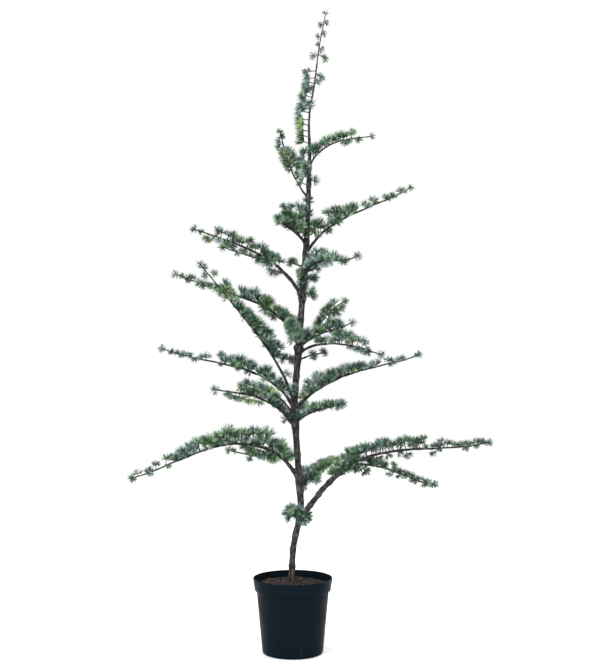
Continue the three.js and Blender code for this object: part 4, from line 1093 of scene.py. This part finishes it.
def lathe(profile, sides):
    """Turns a profile of (radius, height) about the upright axis."""
    angle = 2 * math.pi * np.arange(sides) / sides
    profile = np.array(profile, float)
    ring = np.stack([np.cos(angle), np.sin(angle)], -1)
    heights = np.broadcast_to(profile[:, None, 1:], (len(profile), sides, 1))
    vertices = np.concatenate([profile[:, None, :1] * ring[None], heights], -1)
    return vertices.reshape(-1, 3), grid_faces(len(profile), sides)


def pot_profile(pot):
    """The pot's outline from the middle of its floor outside, up over the lip and down to its floor
    inside."""
    wall, shoulder = pot.wall / MM, RIM - pot.band / MM
    quarter = np.linspace(0, math.pi / 2, 7)
    bend = [(wall_radius(0) - 4 + 4 * math.sin(a), 4 - 4 * math.cos(a)) for a in quarter]
    band = np.linspace(0, 1, 8)
    outside = [
        (10, 2.2), (14, 1.6), (54, 1.6), (57, 1.2), (59, 0.2), (60.5, 0),
        *bend,
        *[(wall_radius(z), z) for z in np.linspace(8, shoulder - 3, 30)],
        (wall_radius(shoulder - 1.5) + 0.1, shoulder - 1.4), (SHOULDER_RADIUS + 0.9, shoulder - 0.5),
        (SHOULDER_RADIUS + 3.2, shoulder + 0.1), (RIM_RADIUS - 4.6, shoulder + 0.4),
        (RIM_RADIUS - 4.0, shoulder + 1.3),
        *[(RIM_RADIUS - 3.9 + 3.3 * u, shoulder + 2.5 + (RIM - shoulder - 8) * u) for u in band],
    ]
    lip = [
        (RIM_RADIUS - 1.6 + 1.5 * math.cos(a) + 0.1, RIM - 2.1 + 2.1 * math.sin(a))
        for a in np.linspace(-0.9, math.pi, 12)
    ]
    step = RIM_RADIUS - 2.9
    inside = [
        (step - 0.3, RIM - 3.2), (step - 3.5, shoulder + 4.5), (step - 4.1, shoulder + 2.6),
        (SHOULDER_RADIUS - 0.4, shoulder + 0.6), (SHOULDER_RADIUS - wall - 0.1, shoulder - 1),
        *[(wall_radius(z) - wall, z) for z in np.linspace(shoulder - 5, 7, 18)],
        (wall_radius(3) - wall - 1.2, 3.8), (wall_radius(3) - wall - 3, 3), (30, 3), (10, 3),
    ]
    return [*outside, *lip, *inside]


def drill_floor(piece, drains):
    """Cuts a ring of round drain holes through the pot's floor. The one in the middle is left by the
    turning."""
    angle = 2 * math.pi * np.arange(DRAIN_SIDES) / DRAIN_SIDES
    ring = np.stack([DRAIN_RADIUS * np.cos(angle), DRAIN_RADIUS * np.sin(angle)], -1)
    here, there = np.arange(DRAIN_SIDES), (np.arange(DRAIN_SIDES) + 1) % DRAIN_SIDES
    above = DRAIN_SIDES
    vertices, faces = [], []
    for i in range(drains):
        way = 2 * math.pi * (i + 0.5) / drains
        middle = np.array([DRAINS_OUT * math.cos(way), DRAINS_OUT * math.sin(way)])
        first = len(vertices)
        for z in (DRILL_FROM, DRILL_TO):
            vertices += [(*(middle + offset), z) for offset in ring]
        faces += (first + np.stack([here, there, there + above, here + above], 1)).tolist()
        faces += [(first + here[::-1]).tolist(), (first + above + here).tolist()]
    cutter = bpy.data.meshes.new("drills")
    cutter.from_pydata((np.array(vertices) * MM).tolist(), [], faces)
    drill = bpy.data.objects.new("drills", cutter)
    bpy.context.scene.collection.objects.link(drill)
    cut = piece.modifiers.new("drains", "BOOLEAN")
    cut.object, cut.operation, cut.solver = drill, "DIFFERENCE", "EXACT"
    whole = bpy.data.meshes.new_from_object(piece.evaluated_get(bpy.context.evaluated_depsgraph_get()))
    piece.modifiers.clear()
    piece.data = whole
    bpy.data.objects.remove(drill)
    piece.data.shade_smooth()
    piece.data.set_sharp_from_angle(angle=math.radians(35))


def mix_height(x, y):
    """How high the mix lies: lumpy, raked up a little round the stem and sunk at the wall."""
    out = math.hypot(x, y)
    lumps = noise.noise(Vector((x / 24, y / 24, 4.2))) * 2.6
    lumps += noise.noise(Vector((x / 7, y / 7, 9.1))) * 1.3
    crumbs = noise.noise(Vector((x / 2.4, y / 2.4, 1.7))) * 0.7
    return MIX_LEVEL + lumps * min(1, out / 25) + crumbs - 2.6 * max(0, (out - 45) / 43) ** 2


def chip(rng, size):
    """One split chip: a flat, ragged slip of bark, thinner at its ends."""
    long, wide, thick = size
    around = CHIP_SIDES
    angle = 2 * math.pi * (np.arange(around) + rng.uniform(-0.3, 0.3, around)) / around
    ragged = rng.uniform(0.72, 1.12, around)
    x, y = np.cos(angle) * long / 2 * ragged, np.sin(angle) * wide / 2 * ragged
    rim = np.stack([x, y, np.zeros(around)], -1)
    top, bottom = rim * [0.86, 0.8, 1] + [0, 0, thick / 2], rim - [0, 0, thick / 2]
    top[:, 2] += rng.normal(0, thick * 0.16, around)
    vertices = np.vstack([bottom, top, [[0, 0, -thick / 2]], [[0, 0, thick * 0.6]]])
    j, k = np.arange(around), (np.arange(around) + 1) % around
    under, over = np.full(around, 2 * around), np.full(around, 2 * around + 1)
    faces = np.concatenate([
        np.stack([j, k, k + around], 1), np.stack([j, k + around, j + around], 1),
        np.stack([k, j, under], 1), np.stack([j + around, k + around, over], 1),
    ])
    return vertices, faces


def turned(vertices, rng, tilt):
    """Turned any way about the upright, and tipped a little."""
    yaw, lean, roll = rng.uniform(0, 2 * math.pi), rng.normal(0, tilt), rng.normal(0, tilt)
    matrix = Matrix.Rotation(yaw, 3, "Z") @ Matrix.Rotation(lean, 3, "Y") @ Matrix.Rotation(roll, 3, "X")
    return vertices @ np.array(matrix).T


# ---- operators ----
CAMERA_PLACE, LENS = (0.022, -2.944, 0.760), 67  # metres, and millimetres of focal length
LAMPS = (("key", (-1.6, -2.2, 2.9), 1.8, 90), ("back", (1.4, 2.4, 2.6), 1.8, 60))  # name, place, size, power
LAMP_AIM = (0, 0, 0.75)
SURROUND_STRENGTH = 1.02
FLOOR_RINGS, FLOOR_SIDES, FLOOR_HEIGHT = (200, 1200, 6000, 40000), 64, -0.2
MOST_TRIANGLES = 198_000  # in one piece


class CEDAR_OT_stage(bpy.types.Operator):
    """Sets up the camera, the lights, the pale floor and the white surround"""

    bl_idname = "cedar.stage"
    bl_label = "Studio"

    def execute(self, context):
        scene = context.scene
        camera = bpy.data.objects.new("camera", bpy.data.cameras.new("camera"))
        camera.location = CAMERA_PLACE
        camera.rotation_euler = (math.radians(90), 0, 0)
        camera.data.lens = LENS
        scene.collection.objects.link(camera)
        scene.camera = camera
        # the colours are the ones named, with no film look over them
        scene.view_settings.view_transform = "Standard"

        world = bpy.data.worlds.new("white_surround")
        world.use_nodes = True
        surround = world.node_tree.nodes["Background"].inputs
        surround["Color"].default_value = (1, 1, 1, 1)
        surround["Strength"].default_value = SURROUND_STRENGTH
        scene.world = world
        for name, place, size, power in LAMPS:
            light = bpy.data.lights.new(name, "AREA")
            light.size, light.energy = size, power
            lamp = bpy.data.objects.new(name, light)
            lamp.location = place
            lamp.rotation_euler = (Vector(LAMP_AIM) - lamp.location).to_track_quat("-Z", "Y").to_euler()
            scene.collection.objects.link(lamp)

        vertices, faces = lathe([(radius, FLOOR_HEIGHT) for radius in FLOOR_RINGS], FLOOR_SIDES)
        middle = len(vertices)
        fan = [[middle, (j + 1) % FLOOR_SIDES, j] for j in range(FLOOR_SIDES)]
        faces = np.concatenate([faces, fan])[:, ::-1]
        vertices = np.vstack([vertices, [0, 0, FLOOR_HEIGHT]]) * MM
        mesh = bpy.data.meshes.new("floor")
        mesh.from_pydata(vertices.tolist(), [], faces.tolist())
        mesh.materials.append(studio_board())
        floor = bpy.data.objects.new("floor", mesh)
        scene.collection.objects.link(floor)
        return {"FINISHED"}


class CEDAR_OT_pot(bpy.types.Operator):
    """Moulds the nursery pot: tapered wall, flared band with a rolled lip, raised floor with drain holes"""

    bl_idname = "cedar.pot"
    bl_label = "Nursery pot"

    def execute(self, context):
        pot = context.scene.cedar_pot
        batch = Batch()
        vertices, faces = lathe(pot_profile(pot), POT_SIDES)
        batch.add(vertices, faces[:, ::-1])
        piece = make_piece("nursery_pot", batch, [pot_material(pot)], ["pot"])
        drill_floor(piece, pot.drains)
        return {"FINISHED"}


class CEDAR_OT_mix(bpy.types.Operator):
    """Fills the pot with peat and lays bark chips on top"""

    bl_idname = "cedar.mix"
    bl_label = "Potting mix"

    def execute(self, context):
        mix, wall = context.scene.cedar_mix, context.scene.cedar_pot.wall / MM
        rows = [(0.01, 3.1), (wall_radius(4) - wall - 1.5, 3.1)]
        rows += [(wall_radius(z) - wall - 0.15, z) for z in np.linspace(6, SHOULDER - 2, 12)]
        rows += [(SHOULDER_RADIUS - wall + 0.8, SHOULDER + 1.5), (EDGE - 0.4, SHOULDER + 4)]
        top = [(radius, 0) for radius in np.linspace(EDGE + 0.8, 0.01, 60)]
        vertices, faces = lathe(rows + top, MIX_SIDES)
        for i in range(len(rows) * MIX_SIDES, len(vertices)):
            vertices[i, 2] = mix_height(*vertices[i, :2])
        batch = Batch()
        batch.add(vertices, faces[:, ::-1])
        make_piece("peat", batch, [peat_material(mix)], ["potting_mix"])

        rng = np.random.default_rng((context.scene.cedar_growth.seed, CHIP_DRAWS))
        chips = Batch()
        longest = mix.chip_length / MM
        for _ in range(mix.chips):
            out, way = (EDGE - 3) * math.sqrt(rng.random()), rng.uniform(0, 2 * math.pi)
            x, y = out * math.cos(way), out * math.sin(way)
            long = longest * rng.uniform(0.18, 1) ** 1.7
            size = (long, long * rng.uniform(0.3, 0.75), max(0.7, long * rng.uniform(0.14, 0.3)))
            vertices, faces = chip(rng, size)
            vertices = turned(vertices, rng, 0.32) + [x, y, mix_height(x, y) + rng.uniform(-0.2, 1.1)]
            chips.add(vertices, faces, rng.choice(len(TINT_CHANCES), p=TINT_CHANCES))
        make_piece("bark_chips", chips, chip_materials(mix), ["potting_mix"])
        return {"FINISHED"}


class CEDAR_OT_stem(bpy.types.Operator):
    """Skins the stem with bark"""

    bl_idname = "cedar.stem"
    bl_label = "Stem"

    def execute(self, context):
        bark, seed = context.scene.cedar_bark, context.scene.cedar_growth.seed
        batch = Batch()
        skin_stem(batch, bark.relief, seed)
        material = bark_material("cedar_bark_stem", bark, grain_size=1.5, plate_size=5)
        make_piece("stem_bark", batch, [material], ["stem"])
        return {"FINISHED"}


class CEDAR_OT_boughs(bpy.types.Operator):
    """Skins each bough with bark, from its collar on the stem to its tip"""

    bl_idname = "cedar.boughs"
    bl_label = "Boughs"

    def execute(self, context):
        bark, seed = context.scene.cedar_bark, context.scene.cedar_growth.seed
        material = bark_material("cedar_bark_bough", bark, grain_size=1.2, plate_size=4)
        batches = {tier: Batch() for tier in TIERS}
        for number, bough in enumerate(LIMBS):
            skin_bough(batches[tier_of(bough["name"])], bough, bark.relief, seed, number)
        for tier, batch in batches.items():
            make_piece(f"bough_bark_{tier}", batch, [material], nodes_of("bough_", tier))
        return {"FINISHED"}


class CEDAR_OT_twigs(bpy.types.Operator):
    """Grows the pegs: the short woody shoots that carry the tufts"""

    bl_idname = "cedar.twigs"
    bl_label = "Pegs"

    def execute(self, context):
        growth, bark = context.scene.cedar_growth, context.scene.cedar_bark
        materials = [
            spur_material("cedar_spur_bark_old", bark, bark.young),
            spur_material("cedar_spur_bark_new", bark, bark.peg),
        ]
        for tier, crown in grown(growth).items():
            batch = Batch()
            for points, radii, new in crown.pegs:
                vertices, faces, grain = tube(points, radii, 6)
                batch.add(vertices, faces, int(new), grain)
            make_piece(f"pegs_{tier}", batch, materials, nodes_of("needles_", tier))
        return {"FINISHED"}


class CEDAR_OT_needles(bpy.types.Operator):
    """Grows the needles, in tufts at the ends of the pegs"""

    bl_idname = "cedar.needles"
    bl_label = "Needles"

    def execute(self, context):
        growth = context.scene.cedar_growth
        materials = needle_materials()
        for number, (tier, crown) in enumerate(grown(growth).items()):
            batch = Batch()
            vertices, faces, tints = needle_mesh(crown.tufts, growth, (growth.seed, number))
            batch.add(vertices, faces, tints)
            if len(faces) > MOST_TRIANGLES:
                raise RuntimeError(f"the needles of the {tier} tier have {len(faces)} triangles")
            make_piece(f"needles_{tier}", batch, materials, nodes_of("needles_", tier))
        return {"FINISHED"}


class CEDAR_PT_panel(bpy.types.Panel):
    bl_label = "Potted Cedar"
    bl_idname = "CEDAR_PT_panel"
    bl_space_type = "VIEW_3D"
    bl_region_type = "UI"
    bl_category = "Cedar"

    def draw(self, context):
        for title, settings in GROUPS.items():
            box = self.layout.box()
            box.label(text=title.replace("_", " ").title())
            for name in settings.__annotations__:
                box.prop(getattr(context.scene, title), name)
        for operator in OPERATORS:
            self.layout.operator(operator.bl_idname)


OPERATORS = (
    CEDAR_OT_stage, CEDAR_OT_pot, CEDAR_OT_mix, CEDAR_OT_stem,
    CEDAR_OT_boughs, CEDAR_OT_twigs, CEDAR_OT_needles,
)
GROUPS = {
    "cedar_growth": CedarGrowth, "cedar_bark": CedarBark,
    "cedar_pot": CedarPot, "cedar_mix": CedarMix,
}


def register():
    for made in (*GROUPS.values(), *OPERATORS, CEDAR_PT_panel):
        bpy.utils.register_class(made)
    for name, group in GROUPS.items():
        setattr(bpy.types.Scene, name, bpy.props.PointerProperty(type=group))


def unregister():
    for name in GROUPS:
        delattr(bpy.types.Scene, name)
    for made in (CEDAR_PT_panel, *reversed(OPERATORS), *reversed(GROUPS.values())):
        bpy.utils.unregister_class(made)


def main():
    register()
    for operator in OPERATORS:
        group, name = operator.bl_idname.split(".")
        getattr(getattr(bpy.ops, group), name)()


if __name__ == "__main__":
    main()
